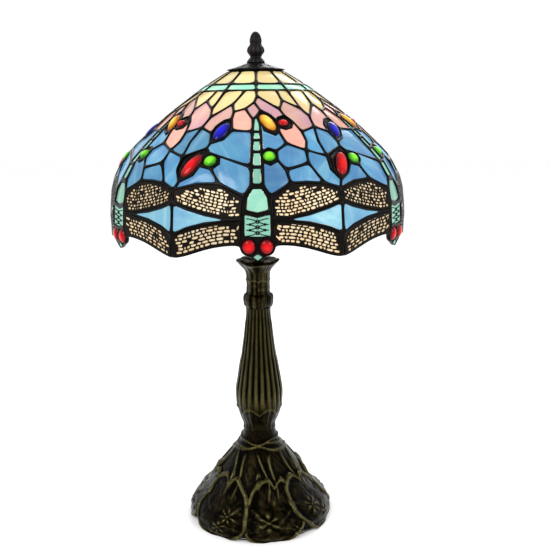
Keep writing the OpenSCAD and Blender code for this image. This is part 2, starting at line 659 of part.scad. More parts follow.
// Faces come in quads, listed clockwise as they are seen from outside the solder
function quad(a, b, c, d) = [d, c, b, a];
function cell_faces(r, c) = [for (j = [0:len(loops[c]) - 1]) let (
    n = (j + 1) % len(loops[c]),
    p0 = ridge_index(r, loops[c][j], 0), p1 = ridge_index(r, loops[c][n], 0),
    w0 = window_index(r, c, j, 0), w1 = window_index(r, c, n, 0))
    each [quad(p0, p1, w1, w0), quad(w0, w1, w1 + 1, w0 + 1), quad(w0 + 1, w1 + 1, p1 + 1, p0 + 1)]];
function chain_faces(r, chain) = [for (j = [0:len(chain) - 2]) let (
    p0 = ridge_index(r, chain[j], 0), p1 = ridge_index(r, chain[j + 1], 0))
    quad(p1, p0, p0 + 1, p1 + 1)];
lattice_faces = concat(
    [for (r = [0:repeats - 1], c = [0:len(cells) - 1]) each cell_faces(r, c)],
    [for (r = [0:repeats - 1]) each chain_faces(r, top_chain)],
    [for (r = [0:repeats - 1]) each chain_faces(r, rim_chain)]);
module solder_lattice() {
    color(patina) polyhedron(lattice_points, lattice_faces, convexity = 10);
}

// ---- glass, filigree and jewels ------------------------------------------------------

module on_plane(f) {
    multmatrix([
        [f[1][0], f[2][0], f[3][0], f[0][0]],
        [f[1][1], f[2][1], f[3][1], f[0][1]],
        [f[1][2], f[2][2], f[3][2], f[0][2]],
        [0, 0, 0, 1]]) children();
}

// Every cell of one kind, all round the shade, as a plate from z0 up by t
module plates(kind, z0, t) {
    for (r = [0:repeats - 1]) rotate(r * pitch)
        for (i = [0:len(cells) - 1]) if (cells[i][0] == kind)
            on_plane(cell_plane[i]) translate([0, 0, z0])
                linear_extrude(t) polygon(inset(cell_window[i], glass_gap));
}
module panes(kind) plates(kind, -glass_t / 2, glass_t);

jewel_deep = 2.6;
jewel_steps = 24;
// Domed jewels: an oval prism whose front is rounded by a large sphere
module jewels(kind, high) {
    for (r = [0:repeats - 1]) rotate(r * pitch)
        for (i = [0:len(cells) - 1]) if (cells[i][0] == kind) {
            c = jewel_centre(i);
            a = k * cells[i][3] * jewel_scale(i);
            b = k * cells[i][4] * jewel_scale(i);
            big = max(a, b);
            drop = high * 0.6;
            sphere_r = (big * big + drop * drop) / (2 * drop);
            on_plane(cell_plane[i]) translate([c[0], c[1], 0]) rotate(-cells[i][5]) intersection() {
                translate([0, 0, -jewel_deep]) linear_extrude(jewel_deep + high)
                    polygon([for (s = [0:jewel_steps - 1])
                        [b * cos(s * 360 / jewel_steps), a * sin(s * 360 / jewel_steps)]]);
                translate([0, 0, high - sphere_r]) sphere(r = sphere_r, $fn = 48);
            }
        }
}

module cream_top_glass() color([1, 0.93, 0.66]) panes("cream_top");
module mint_band_glass() color([0.62, 0.94, 0.80]) panes("mint");
module cream_petal_glass() color([1, 0.88, 0.62]) panes("petal");
module rose_glass() color([0.94, 0.70, 0.74]) panes("rose");
module peach_glass() color([0.99, 0.72, 0.65]) panes("peach");
module sky_glass() color([0.38, 0.66, 0.86]) panes("sky");
module wing_gap_glass() color([0.42, 0.72, 0.88]) panes("gap");
module tail_glass() color([0.62, 0.88, 0.76]) panes("tail");
module abdomen_glass() color([0.55, 0.88, 0.74]) panes("abdomen");
module thorax_glass() color([0.50, 0.90, 0.75]) panes("thorax");
module nose_glass() color([0.50, 0.80, 0.68]) panes("nose");
module upper_wing_glass() color([0.98, 0.89, 0.71]) panes("upper_wing");
module lower_wing_glass() color([0.98, 0.89, 0.71]) panes("lower_wing");

filigree_z = glass_t / 2 + 0.1;
module upper_wing_filigree() color(patina) plates("upper_wing", filigree_z, filigree_t);
module lower_wing_filigree() color(patina) plates("lower_wing", filigree_z, filigree_t);

// Crossed brass wires over the thorax
cross_w = 9;
cross_h = 2.4;
module thorax_filigree() {
    color(patina) for (r = [0:repeats - 1]) rotate(r * pitch)
        for (i = [0:len(cells) - 1]) if (cells[i][0] == "thorax")
            on_plane(cell_plane[i]) for (y = [2.6, -2.2, -7]) translate([0, y * k, filigree_z])
                linear_extrude(filigree_t) scale(k) for (s = [-1, 1]) polygon([
                    [-cross_w, s * cross_h], [-cross_w, s * cross_h - s * 1.2],
                    [cross_w, -s * cross_h], [cross_w, -s * cross_h + s * 1.2]]);
}

module eye_jewels() color([0.72, 0.0, 0.05]) jewels("eye", 4.2);
module amber_jewels() color([0.96, 0.66, 0.12]) jewels("amber", 4);
module cobalt_jewels() color([0.0, 0.0, 0.62]) jewels("cobalt", 4);
module green_jewels() color([0.35, 0.80, 0.08]) jewels("green", 4);
module large_red_jewels() color([0.66, 0.0, 0.05]) jewels("large_red", 4.2);
module small_red_jewels() color([0.78, 0.0, 0.08]) jewels("small_red", 3.8);

// ---- top fittings -----------------------------------------------------------------------

seat_r = k * mouth_r * cos(pitch / 4) - ridge * sin(arc_slope[0]) - 0.3;
stud_hole_r = stud_r + fit;
module shade_wheel() {
    color(brass) translate([0, 0, wheel_z]) difference() {
        cylinder(r = seat_r, h = wheel_t);
        translate([0, 0, -1]) cylinder(r = stud_hole_r, h = wheel_t + 2);
        for (a = [30:60:330]) rotate(a) translate([(seat_r + stud_base_r) / 2, 0, -1])
            cylinder(r = (seat_r - stud_base_r) * 0.24, h = wheel_t + 2);
    }
}

module shade_top_ring() {
    color(brass) translate([0, 0, wheel_z + wheel_t]) ring(seat_r, seat_r - 2.2, ring_h);
}

// Low domed cap with two rows of vents
cap_wall = 1.6;
module vented_cap() {
    color(patina) translate([0, 0, cap_z]) difference() {
        rotate_extrude() polygon([
            [stud_hole_r, cap_h], [stud_hole_r, cap_h - cap_wall], [cap_r * 0.3, cap_h - cap_wall - 0.6],
            [seat_r - 4, 2.4], [seat_r - 2.2, 0], [seat_r + 0.2, 0], [seat_r + 2.5, 2.3],
            [cap_r, 2.6], [cap_r, 3.2], [cap_r * 0.75, 5], [cap_r * 0.52, 7.2], [cap_r * 0.3, cap_h]
        ]);
        for (a = [15:30:345]) rotate(a) translate([cap_r * 0.62, 0, 0]) cylinder(r = 1.7, h = cap_h + 2);
        for (a = [0:45:315]) rotate(a) translate([cap_r * 0.42, 0, 0]) cylinder(r = 1.3, h = cap_h + 2);
    }
}

// Outline of the finial as [radius, share of its height]
finial_outline = [
    [8.6, 0], [8.9, 0.03], [7, 0.12], [5.6, 0.18], [6.6, 0.26], [8.3, 0.34], [8.6, 0.4], [7.9, 0.48],
    [6.2, 0.56], [5.7, 0.62], [6, 0.68], [5.8, 0.76], [5.1, 0.84], [4.1, 0.91], [2.6, 0.97], [0, 1]
];
insert_r = stud_r + 1.4;
insert_h = finial_h * 0.5;
module finial() {
    color(patina) translate([0, 0, finial_z]) difference() {
        rotate_extrude() polygon(concat([[0, 0]], [for (p = finial_outline) [p[0], p[1] * finial_h]]));
        translate([0, 0, -1]) cylinder(r = insert_r, h = insert_h + 1);
    }
}

module finial_insert() {
    color(brass) translate([0, 0, finial_z]) ring(insert_r, stud_r + thread_fit / 2, insert_h - 0.1);
}

felt_pad();
bottom_plate();
plate_screws();
ballast_weight();
foot_casting();
cord_bushing();
base_nut();
base_washer();
threaded_pipe();
stem_casting();
stem_collar();
drip_cup();
harp_saddle();
saddle_nut();
harp_wire();
harp_stud();
harp_sleeve_front();
harp_sleeve_back();
socket_cap();
socket_shell();
socket_liner();
socket_core();
screw_shell();
centre_contact();
switch_key();
bulb_glass();
bulb_base();
bulb_stem();
bulb_filaments();
shade_wheel();
shade_top_ring();
solder_lattice();
cream_top_glass();
mint_band_glass();
cream_petal_glass();
rose_glass();
peach_glass();
sky_glass();
wing_gap_glass();
tail_glass();
abdomen_glass();
thorax_glass();
nose_glass();
upper_wing_glass();
lower_wing_glass();
upper_wing_filigree();
lower_wing_filigree();
thorax_filigree();
eye_jewels();
amber_jewels();
cobalt_jewels();
green_jewels();
large_red_jewels();
small_red_jewels();
vented_cap();
finial();
finial_insert();
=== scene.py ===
import json
import math
import random

import bmesh
import bpy
import numpy as np
from mathutils import Matrix, Vector, noise
from mathutils.bvhtree import BVHTree
from mathutils.geometry import delaunay_2d_cdt


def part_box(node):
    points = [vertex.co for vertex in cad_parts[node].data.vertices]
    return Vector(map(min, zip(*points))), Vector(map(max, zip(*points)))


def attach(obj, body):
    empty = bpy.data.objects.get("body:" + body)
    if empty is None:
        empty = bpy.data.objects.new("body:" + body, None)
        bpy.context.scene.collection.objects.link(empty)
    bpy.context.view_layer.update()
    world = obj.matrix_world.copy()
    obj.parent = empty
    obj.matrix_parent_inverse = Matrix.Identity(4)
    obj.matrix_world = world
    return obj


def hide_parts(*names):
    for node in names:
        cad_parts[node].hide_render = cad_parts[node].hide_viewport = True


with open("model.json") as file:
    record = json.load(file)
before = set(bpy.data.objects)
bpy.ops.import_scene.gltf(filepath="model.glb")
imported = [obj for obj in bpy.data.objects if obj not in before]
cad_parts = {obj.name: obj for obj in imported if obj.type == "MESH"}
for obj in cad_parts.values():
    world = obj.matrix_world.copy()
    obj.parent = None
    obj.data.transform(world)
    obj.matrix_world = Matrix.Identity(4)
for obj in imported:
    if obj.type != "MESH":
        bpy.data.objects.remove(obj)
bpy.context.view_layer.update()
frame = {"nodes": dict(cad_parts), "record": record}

MM = 0.001
UP = Vector((0, 0, 1))


def around(index, count):
    """The angle of one of count even steps round a circle."""
    return 2 * math.pi * index / count


def sine(degrees):
    return math.sin(math.radians(degrees))


def unit(value):
    """The value, held between 0 and 1."""
    return min(max(value, 0), 1)


def add_object(name, data):
    made = bpy.data.objects.new(name, data)
    bpy.context.scene.collection.objects.link(made)
    return made


def bridge(bm, rings):
    """Faces between each ring of vertices and the next one."""
    for ring, following in zip(rings, rings[1:]):
        for j in range(len(ring)):
            k = (j + 1) % len(ring)
            bm.faces.new((ring[j], ring[k], following[k], following[j]))


# ---- colours and finishes ----

def tint(code):
    """A colour written as six hex digits, as linear light."""
    parts = [int(code[i:i + 2], 16) / 255 for i in (0, 2, 4)]
    return [c / 12.92 if c <= 0.04045 else ((c + 0.055) / 1.055) ** 2.4 for c in parts] + [1]


class Shader:
    """Short hand for wiring one material's or one group's nodes."""

    def __init__(self, tree):
        self.tree = tree

    def add(self, kind, **values):
        made = self.tree.nodes.new(kind)
        for key, value in values.items():
            if key in made.inputs:
                made.inputs[key].default_value = value
            else:
                setattr(made, key, value)
        return made

    def join(self, source, target):
        self.tree.links.new(source, target)

    def mix(self, amount, low, high, blend="MIX"):
        """Colour mix; each argument is a socket or a value. Returns the result socket."""
        made = self.tree.nodes.new("ShaderNodeMix")
        made.data_type = "RGBA"
        made.blend_type = blend
        for socket, value in ((made.inputs[0], amount), (made.inputs[6], low), (made.inputs[7], high)):
            self.feed(socket, value)
        return made.outputs[2]

    def math(self, operation, *values, clamp=False):
        made = self.tree.nodes.new("ShaderNodeMath")
        made.operation = operation
        made.use_clamp = clamp
        for socket, value in zip(made.inputs, values):
            self.feed(socket, value)
        return made.outputs[0]

    def ramp(self, value, low, high, to_low=0.0, to_high=1.0):
        made = self.add("ShaderNodeMapRange")
        for index, amount in enumerate((value, low, high, to_low, to_high)):
            self.feed(made.inputs[index], amount)
        return made.outputs[0]

    def object_noise(self, **values):
        """Noise laid out by the object's own coordinates."""
        place = self.add("ShaderNodeTexCoord")
        made = self.add("ShaderNodeTexNoise", **values)
        self.join(place.outputs["Object"], made.inputs["Vector"])
        return made

    def feed(self, socket, value):
        if isinstance(value, bpy.types.NodeSocket):
            self.join(value, socket)
        else:
            socket.default_value = value


def new_group(name, inputs, outputs):
    """A shader node group with named sockets: (kind, name, default) in, (kind, name) out."""
    tree = bpy.data.node_groups.new(name, "ShaderNodeTree")
    for kind, label, default in inputs:
        made = tree.interface.new_socket(label, in_out="INPUT", socket_type="NodeSocket" + kind)
        if default is not None:
            made.default_value = default
    for kind, label in outputs:
        tree.interface.new_socket(label, in_out="OUTPUT", socket_type="NodeSocket" + kind)
    shader = Shader(tree)
    return tree, shader, shader.add("NodeGroupInput"), shader.add("NodeGroupOutput")


def opal_streaks():
    """Streaky opalescent sheet glass: wisps of two colours, clouds of a deeper one, and ripples."""
    tree, s, given, result = new_group(
        "opal streaks",
        [("Vector", "Place", None), ("Float", "Tone", 0.5), ("Color", "Main", (1, 1, 1, 1)),
         ("Color", "Wisp", (1, 1, 1, 1)), ("Color", "Deep", (1, 1, 1, 1)),
         ("Float", "Stretch", 5.0), ("Float", "Contrast", 1.0)],
        [("Color", "Colour"), ("Float", "Height")])
    place = s.add("ShaderNodeVectorMath", operation="MULTIPLY")
    s.join(given.outputs["Place"], place.inputs[0])
    stretch = s.add("ShaderNodeCombineXYZ", Y=1.0, Z=1.0)
    s.join(s.math("DIVIDE", 1.0, given.outputs["Stretch"]), stretch.inputs["X"])
    s.join(stretch.outputs[0], place.inputs[1])
    wisps = s.add("ShaderNodeTexNoise", Scale=120.0, Detail=5.0, Roughness=0.55, Distortion=0.6)
    s.join(place.outputs[0], wisps.inputs["Vector"])
    clouds = s.add("ShaderNodeTexNoise", Scale=28.0, Detail=3.0, Roughness=0.5)
    s.join(given.outputs["Place"], clouds.inputs["Vector"])
    ripples = s.add("ShaderNodeTexNoise", Scale=260.0, Detail=2.0, Roughness=0.4)
    s.join(given.outputs["Place"], ripples.inputs["Vector"])
    half = s.math("MULTIPLY", given.outputs["Contrast"], 0.5)
    wisp_amount = s.math("MULTIPLY", s.ramp(wisps.outputs[0], 0.46, 0.66), half, clamp=True)
    deep_amount = s.math("MULTIPLY", s.ramp(clouds.outputs[0], 0.42, 0.68), half, clamp=True)
    first = s.mix(wisp_amount, given.outputs["Main"], given.outputs["Wisp"])
    second = s.mix(deep_amount, first, given.outputs["Deep"])
    shade = s.ramp(given.outputs["Tone"], 0, 1, 0.78, 1.1)
    grey = s.add("ShaderNodeCombineColor")
    for index in range(3):
        s.join(shade, grey.inputs[index])
    s.join(s.mix(1.0, second, grey.outputs[0], "MULTIPLY"), result.inputs["Colour"])
    swell = s.math("MULTIPLY", clouds.outputs[0], 1.5)
    s.join(s.math("ADD", ripples.outputs[0], swell), result.inputs["Height"])
    return tree


def aged_metal_and_shade():
    """Patina and painted shade in the hollows, rubbed metal on what stands proud, and a fine cast grain."""
    tree, s, given, result = new_group(
        "aged metal",
        [("Color", "Hollow", (0, 0, 0, 1)), ("Color", "Body", (0, 0, 0, 1)),
         ("Color", "Rubbed", (1, 1, 1, 1)), ("Float", "Relief", 0.5),
         ("Float", "Grain", 300.0), ("Float", "Roughness", 0.5)],
        [("Color", "Colour"), ("Float", "Roughness"), ("Float", "Height")])
    place = s.add("ShaderNodeTexCoord")
    blotch = s.add("ShaderNodeTexNoise", Scale=45.0, Detail=6.0, Roughness=0.65)
    s.join(place.outputs["Object"], blotch.inputs["Vector"])
    grain = s.add("ShaderNodeTexNoise", Detail=3.0, Roughness=0.6)
    s.join(place.outputs["Object"], grain.inputs["Vector"])
    s.join(given.outputs["Grain"], grain.inputs["Scale"])
    wander = s.math("MULTIPLY", s.math("SUBTRACT", blotch.outputs[0], 0.5), 0.5)
    level = s.math("ADD", given.outputs["Relief"], wander)
    # Low relief takes the hollow colour, patina with painted shade; high relief takes the rubbed colour.
    low = s.ramp(level, 0.12, 0.48)
    high = s.math("MULTIPLY", s.ramp(level, 0.46, 0.98), s.ramp(grain.outputs[0], 0.35, 0.6, 0.6, 1.0))
    body = s.mix(low, given.outputs["Hollow"], given.outputs["Body"])
    s.join(s.mix(high, body, given.outputs["Rubbed"]), result.inputs["Colour"])
    rough = s.math("ADD", given.outputs["Roughness"], s.math("MULTIPLY", wander, 0.5))
    s.join(s.math("SUBTRACT", rough, s.math("MULTIPLY", high, 0.12)), result.inputs["Roughness"])
    s.join(s.math("ADD", grain.outputs[0], blotch.outputs[0]), result.inputs["Height"])
    return tree


OPAL = opal_streaks()
AGED_AND_SHADE = aged_metal_and_shade()


GLASS_BASE = (0.42, 0.42, 0.42, 1)
JEWEL_BASE = (0.45, 0.45, 0.45, 1)


def principled(name):
    """A new material: (material, its wiring, its surface shader)."""
    made = bpy.data.materials.new(name)
    made.use_nodes = True
    shader = Shader(made.node_tree)
    face = made.node_tree.nodes["Principled BSDF"]
    return made, shader, face


def preset(face, **values):
    """Plain values for sockets, whose names are written with _ for each space."""
    for label, value in values.items():
        face.inputs[label.replace("_", " ")].default_value = value


def add_bump(s, face, height, strength, distance):
    bump = s.add("ShaderNodeBump", Strength=strength, Distance=distance)
    s.join(height, bump.inputs["Height"])
    s.join(bump.outputs[0], face.inputs["Normal"])


def sheet_glass(name, main, wisp, deep, glow=0.5, stretch=5.0, contrast=1.0):
    """Backlit opalescent glass. Panes carry a 'grain' vector and a 'tone' for each pane."""
    made, s, face = principled(name)
    streaks = s.add("ShaderNodeGroup", node_tree=OPAL)
    for label, colour in (("Main", main), ("Wisp", wisp), ("Deep", deep)):
        streaks.inputs[label].default_value = tint(colour)
    streaks.inputs["Stretch"].default_value = stretch
    streaks.inputs["Contrast"].default_value = contrast
    grain = s.add("ShaderNodeAttribute", attribute_name="grain")
    tone = s.add("ShaderNodeAttribute", attribute_name="tone")
    s.join(grain.outputs["Vector"], streaks.inputs["Place"])
    s.join(tone.outputs["Fac"], streaks.inputs["Tone"])
    s.join(s.mix(1.0, streaks.outputs["Colour"], GLASS_BASE, "MULTIPLY"), face.inputs["Base Color"])
    s.join(streaks.outputs["Colour"], face.inputs["Emission Color"])
    preset(face, Emission_Strength=glow, Roughness=0.18, Specular_IOR_Level=0.3, Coat_Weight=0.12,
           Coat_Roughness=0.08)
    add_bump(s, face, streaks.outputs["Height"], 0.35, 0.0006)
    return made


def jewel_glass(name, edge, heart, glow=0.55):
    """Cast cabochon: deep and shaded at its rim, bright where the light gathers in its middle; the dome
    attribute paints this shade and glow.
    """
    made, s, face = principled(name)
    dome = s.add("ShaderNodeAttribute", attribute_name="dome")
    swirl = s.object_noise(Scale=90.0, Detail=3.0, Roughness=0.5)
    drift = s.math("MULTIPLY", s.math("SUBTRACT", swirl.outputs[0], 0.5), 0.8)
    level = s.math("ADD", dome.outputs["Fac"], drift)
    colour = s.mix(s.ramp(level, 0.1, 0.85), tint(edge), tint(heart))
    s.join(s.mix(1.0, colour, JEWEL_BASE, "MULTIPLY"), face.inputs["Base Color"])
    s.join(colour, face.inputs["Emission Color"])
    preset(face, Emission_Strength=glow, Roughness=0.05, Specular_IOR_Level=0.14, Coat_Weight=0.08,
           Coat_Roughness=0.03)
    add_bump(s, face, swirl.outputs[0], 0.12, 0.0006)
    return made


def metal(name, hollow, body, rubbed, rough=0.45, metallic=1.0, grain=300.0, relief=None, bump=0.25,
          gloss=0.25):
    """Patinated metal with painted shade in its hollows; relief names the attribute that says how rubbed
    each spot is and how much painted shade it takes.
    """
    made, s, face = principled(name)
    aged = s.add("ShaderNodeGroup", node_tree=AGED_AND_SHADE)
    for label, colour in (("Hollow", hollow), ("Body", body), ("Rubbed", rubbed)):
        aged.inputs[label].default_value = tint(colour)
    aged.inputs["Grain"].default_value = grain
    aged.inputs["Roughness"].default_value = rough
    if relief:
        level = s.add("ShaderNodeAttribute", attribute_name=relief)
        s.join(level.outputs["Fac"], aged.inputs["Relief"])
    s.join(aged.outputs["Colour"], face.inputs["Base Color"])
    s.join(aged.outputs["Roughness"], face.inputs["Roughness"])
    preset(face, Metallic=metallic, Specular_IOR_Level=gloss)
    add_bump(s, face, aged.outputs["Height"], bump, 0.0003)
    return made


def soft_matter(name, main, speck, rough, scale, bump, coat=0.0):
    """Felt, rubber, fibre and moulded pieces: a flecked colour over a fine tooth."""
    made, s, face = principled(name)
    fleck = s.object_noise(Scale=scale, Detail=5.0, Roughness=0.7)
    s.join(s.mix(s.ramp(fleck.outputs[0], 0.4, 0.65), tint(main), tint(speck)), face.inputs["Base Color"])
    preset(face, Roughness=rough, Coat_Weight=coat)
    add_bump(s, face, fleck.outputs[0], bump, 0.0004)
    return made


def lit_glass(name, colour, glow, alpha=1.0):
    """Glass or wire that shines by itself."""
    made, s, face = principled(name)
    haze = s.object_noise(Scale=40.0, Detail=2.0)
    shade = s.mix(haze.outputs[0], tint(colour), tint("FFFFFF"))
    s.join(shade, face.inputs["Base Color"])
    s.join(shade, face.inputs["Emission Color"])
    preset(face, Emission_Strength=glow, Roughness=0.08, Alpha=alpha)
    return made


FINISH = {
    "cream_glass": sheet_glass("cream glass", "FAE5A0", "FFF2BE", "F6CF8E", contrast=0.9),
    "petal_glass": sheet_glass("petal glass", "FAE29A", "FDF0B4", "F5C68F", contrast=1.1),
    "mint_glass": sheet_glass("mint glass", "A6F2CA", "D4FCE0", "84E2CC", glow=0.66, contrast=1.0),
    "rose_glass": sheet_glass("rose glass", "F0B6A8", "F8CDB2", "D79CBE", contrast=1.4),
    "peach_glass": sheet_glass("peach glass", "F6B39E", "FCCBB0", "EE9A94", contrast=1.0),
    "sky_glass": sheet_glass("sky glass", "599FC8", "82BEDA", "437AB6", contrast=1.5, stretch=7.0),
    "gap_glass": sheet_glass("wing gap glass", "84C6E2", "ACE2EA", "5E9CCC", contrast=1.4, stretch=7.0),
    "green_glass": sheet_glass("dragonfly glass", "8ECDB4", "B4E4C8", "70C0B0", contrast=1.0),
    "wing_glass": sheet_glass("wing glass", "F9DFB2", "FFF0D2", "F2C894", glow=0.74, contrast=1.1),
    "red_jewel": jewel_glass("red cabochon", "4E0003", "E8000C", glow=0.72),
    "amber_jewel": jewel_glass("amber cabochon", "A85A00", "FFD24A", glow=0.75),
    "cobalt_jewel": jewel_glass("cobalt cabochon", "010130", "1410CC", glow=0.75),
    "green_jewel": jewel_glass("green cabochon", "1E6A02", "84F428", glow=0.75),
    "solder": metal("black solder", "030202", "060504", "16120E", rough=0.26, metallic=0.5, grain=500.0,
                    relief="relief", gloss=0.12),
    "filigree": metal("pierced brass", "040202", "080503", "30220F", rough=0.42, metallic=0.5, grain=700.0,
                      gloss=0.12),
    "bronze": metal("antique bronze", "060503", "1F1A0D", "4C482A", rough=0.36, metallic=1.0, grain=420.0,
                    relief="relief", bump=0.4),
    "dark_metal": metal("black bronze", "050303", "0D0908", "3A3430", rough=0.46, metallic=0.15,
                        grain=260.0, relief="relief", bump=0.1, gloss=0.14),
    "brass": metal("spun brass", "5A3F17", "B48A42", "E0BE78", rough=0.28, grain=520.0, bump=0.08),
    "steel": metal("plated steel", "55554F", "8E8E8A", "C4C4C0", rough=0.34, grain=600.0, bump=0.08),
    "cast_iron": metal("rough iron", "0C0C0D", "1E1E20", "3C3C3E", rough=0.7, metallic=0.6,
                       grain=380.0, bump=0.6),
    "felt": soft_matter("green felt", "16281A", "25402A", 0.95, 900.0, 0.8),
    "rubber": soft_matter("black rubber", "070707", "101010", 0.6, 500.0, 0.15),
    "paper": soft_matter("fibre liner", "8A6A48", "A5845E", 0.8, 350.0, 0.3),
    "phenolic": soft_matter("black phenolic", "0A0806", "15110D", 0.25, 300.0, 0.05, coat=0.4),
    "bulb_glass": lit_glass("bulb glass", "FFE6B0", 1.6, alpha=0.55),
    "filament": lit_glass("filament", "FFC35A", 6.0),
}


# ---- making pieces ----

SLOT_OF = {part["node"]: part["material_slot"] for part in frame["record"]["subparts"]}
BODY_OF = {n: body for body, group in frame["record"]["behaviour"]["bodies"].items() for n in group}


MERGE_DIST = 0.002 * MM
FLAT_DEG = 0.4
PANE_EASE = 0.35 * MM
SHARP_PANE_DEG = 40
SHARP_PIECE_DEG = 50


def mesh_object(name, bm, finish, smooth_deg=None):
    """An object from a bmesh; edges sharper than smooth_deg stay sharp, and 180 smooths them all."""
    mesh = bpy.data.meshes.new(name)
    bm.to_mesh(mesh)
    bm.free()
    made = add_object(name, mesh)
    mesh.materials.append(FINISH[finish])
    if smooth_deg is not None:
        mesh.shade_smooth()
        if smooth_deg < 180:
            mesh.set_sharp_from_angle(angle=math.radians(smooth_deg))
    return made


def stand_for(made, *nodes):
    """The piece rides as the CAD nodes that it stands for, which are hidden."""
    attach(made, BODY_OF[nodes[0]])
    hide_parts(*nodes)
    return made


def merged(node, flatten=True):
    """The CAD node's mesh with its doubles merged and its flat faces whole again."""
    bm = bmesh.new()
    bm.from_mesh(frame["nodes"][node].data)
    bmesh.ops.remove_doubles(bm, verts=bm.verts, dist=MERGE_DIST)
    if flatten:
        bmesh.ops.dissolve_limit(bm, angle_limit=math.radians(FLAT_DEG), verts=bm.verts, edges=bm.edges)
    return bm


def islands(bm):
    """The loose pieces of a mesh, each a list of its faces."""
    left = set(bm.faces)
    found = []
    while left:
        stack = [left.pop()]
        group = list(stack)
        while stack:
            for edge in stack.pop().edges:
                for face in edge.link_faces:
                    if face in left:
                        left.remove(face)
                        stack.append(face)
                        group.append(face)
        found.append(group)
    found.sort(key=lambda g: tuple(round(c, 5) for c in middle(g)))
    return found


def middle(faces):
    verts = {v for f in faces for v in f.verts}
    return sum((v.co for v in verts), Vector()) / len(verts)


def outer_face(faces):
    """The flat front of a plate: its largest face that looks away from the lamp's axis."""
    big = sorted(faces, key=lambda f: -f.calc_area())[:2]
    return max(big, key=lambda f: f.calc_center_median().xy.length + 2 * f.calc_center_median().z)


def plate_frame(face):
    """Axes on a plate: (origin, across, up, out), across running the way round the shade."""
    out = face.normal.normalized()
    across = UP.cross(out).normalized()
    return face.calc_center_median(), across, out.cross(across), out


def sharp_edges(bm, degrees):
    return [e for e in bm.edges if len(e.link_faces) == 2 and e.calc_face_angle() > math.radians(degrees)]


def panes(node):
    """Glass panes: eased edges, and a grain direction and tone of its own for each pane."""
    bm = merged(node)
    dice = random.Random(node)
    grain = bm.verts.layers.float_vector.new("grain")
    tone = bm.verts.layers.float.new("tone")
    for group in islands(bm):
        origin, across, up, out = plate_frame(outer_face(group))
        turn = Matrix.Rotation(dice.uniform(-0.7, 0.7) + math.pi / 2 * dice.choice((0, 1, 1)), 3, "Z")
        shift = Vector((dice.uniform(0, 3), dice.uniform(0, 3), dice.uniform(0, 3)))
        level = dice.random()
        for v in {v for f in group for v in f.verts}:
            step = v.co - origin
            v[grain] = turn @ Vector((step.dot(across), step.dot(up), step.dot(out))) + shift
            v[tone] = level
    bmesh.ops.bevel(bm, geom=sharp_edges(bm, SHARP_PANE_DEG), offset=PANE_EASE, segments=2, profile=0.5,
                    affect="EDGES")
    made = mesh_object(node + "_panes", bm, SLOT_OF[node], 30)
    return stand_for(made, node)


def eased(node, width=0.25, angle=28, flatten=True):
    """A machined or cast piece: its CAD shape with eased edges and smooth round walls."""
    bm = merged(node, flatten)
    if width:
        bmesh.ops.bevel(bm, geom=sharp_edges(bm, SHARP_PIECE_DEG), offset=width * MM, segments=2,
                        profile=0.5, affect="EDGES", clamp_overlap=True)
    made = mesh_object(node + "_piece", bm, SLOT_OF[node], angle)
    return stand_for(made, node)


CORNER_CREASE = 0.85
RIDGE_CREASE = 0.35
CORNER_SWELL = 0.16
RIDGE_SWELL = 0.3
LUMP = 0.25
LUMP_SCALE = 160
WINDOW_DEPTH = 3.2 * MM


def solder_web():
    """The solder: the lattice swollen a little and rounded into one continuous run of bead."""
    bm = merged("solder_lattice", flatten=False)
    bmesh.ops.join_triangles(bm, faces=bm.faces, angle_face_threshold=math.radians(60),
                             angle_shape_threshold=math.radians(75))
    bm.normal_update()
    crease = bm.edges.layers.float.new("crease_edge")
    relief = bm.verts.layers.float.new("relief")
    rims = [e for e in bm.edges if is_pane_corner(e)]
    rim_verts = {v for e in rims for v in e.verts}
    for e in bm.edges:
        ends = sum(v in rim_verts for v in e.verts)
        if ends == 1:
            e[crease] = RIDGE_CREASE
    for e in rims:
        e[crease] = CORNER_CREASE
    steps = {}
    # The relief level: random lumps of tone, lighter along the bead as rubbed solder, and darker at the
    # pane corners as painted shade where the solder meets the glass.
    for v in bm.verts:
        lump = noise.noise(v.co * LUMP_SCALE)
        steps[v] = v.normal * ((CORNER_SWELL if v in rim_verts else RIDGE_SWELL) + LUMP * lump) * MM
        v[relief] = 0.3 + LUMP * lump + (0.0 if v in rim_verts else 0.25)
    for v, step in steps.items():
        v.co += step
    made = mesh_object("solder_web", bm, "solder", 180)
    add_subdivision(made, 2)
    return stand_for(made, "solder_lattice")


def is_pane_corner(edge):
    """An edge that runs straight through the solder at a corner of a pane's window."""
    if abs(edge.calc_length() - WINDOW_DEPTH) > 0.04 * MM or len(edge.link_faces) != 2:
        return False
    run = (edge.verts[1].co - edge.verts[0].co).normalized()
    return all(abs(f.normal.dot(run)) < 0.05 for f in edge.link_faces)


def add_subdivision(made, levels):
    smooth = made.modifiers.new("rounding", "SUBSURF")
    smooth.levels = levels
    smooth.render_levels = levels


def oval_axes(group):
    """Centre, long axis, short axis and outward axis of an oval jewel, with half sizes."""
    verts = list({v for f in group for v in f.verts})
    co = np.array([v.co for v in verts])
    centre = (co.max(0) + co.min(0)) / 2
    front = max(group, key=lambda f: f.calc_area())
    out = front.normal.copy()
    if out.dot(Vector((centre[0], centre[1], 0))) < 0:
        out.negate()
    out.normalize()
    across = UP.cross(out).normalized()
    up = out.cross(across)
    plane = np.stack([co @ np.array(across), co @ np.array(up), co @ np.array(out)], axis=1)
    mid = (plane.max(0) + plane.min(0)) / 2
    rel = plane[:, :2] - mid[:2]
    values, vectors = np.linalg.eigh(rel.T @ rel)
    long2, short2 = vectors[:, 1], vectors[:, 0]
    long_axis = across * long2[0] + up * long2[1]
    short_axis = across * short2[0] + up * short2[1]
    long_half = abs(rel @ long2).max()
    short_half = abs(rel @ short2).max()
    base = across * mid[0] + up * mid[1]
    low, high = plane[:, 2].min(), plane[:, 2].max()
    return base, long_axis, short_axis, out, long_half, short_half, low, high


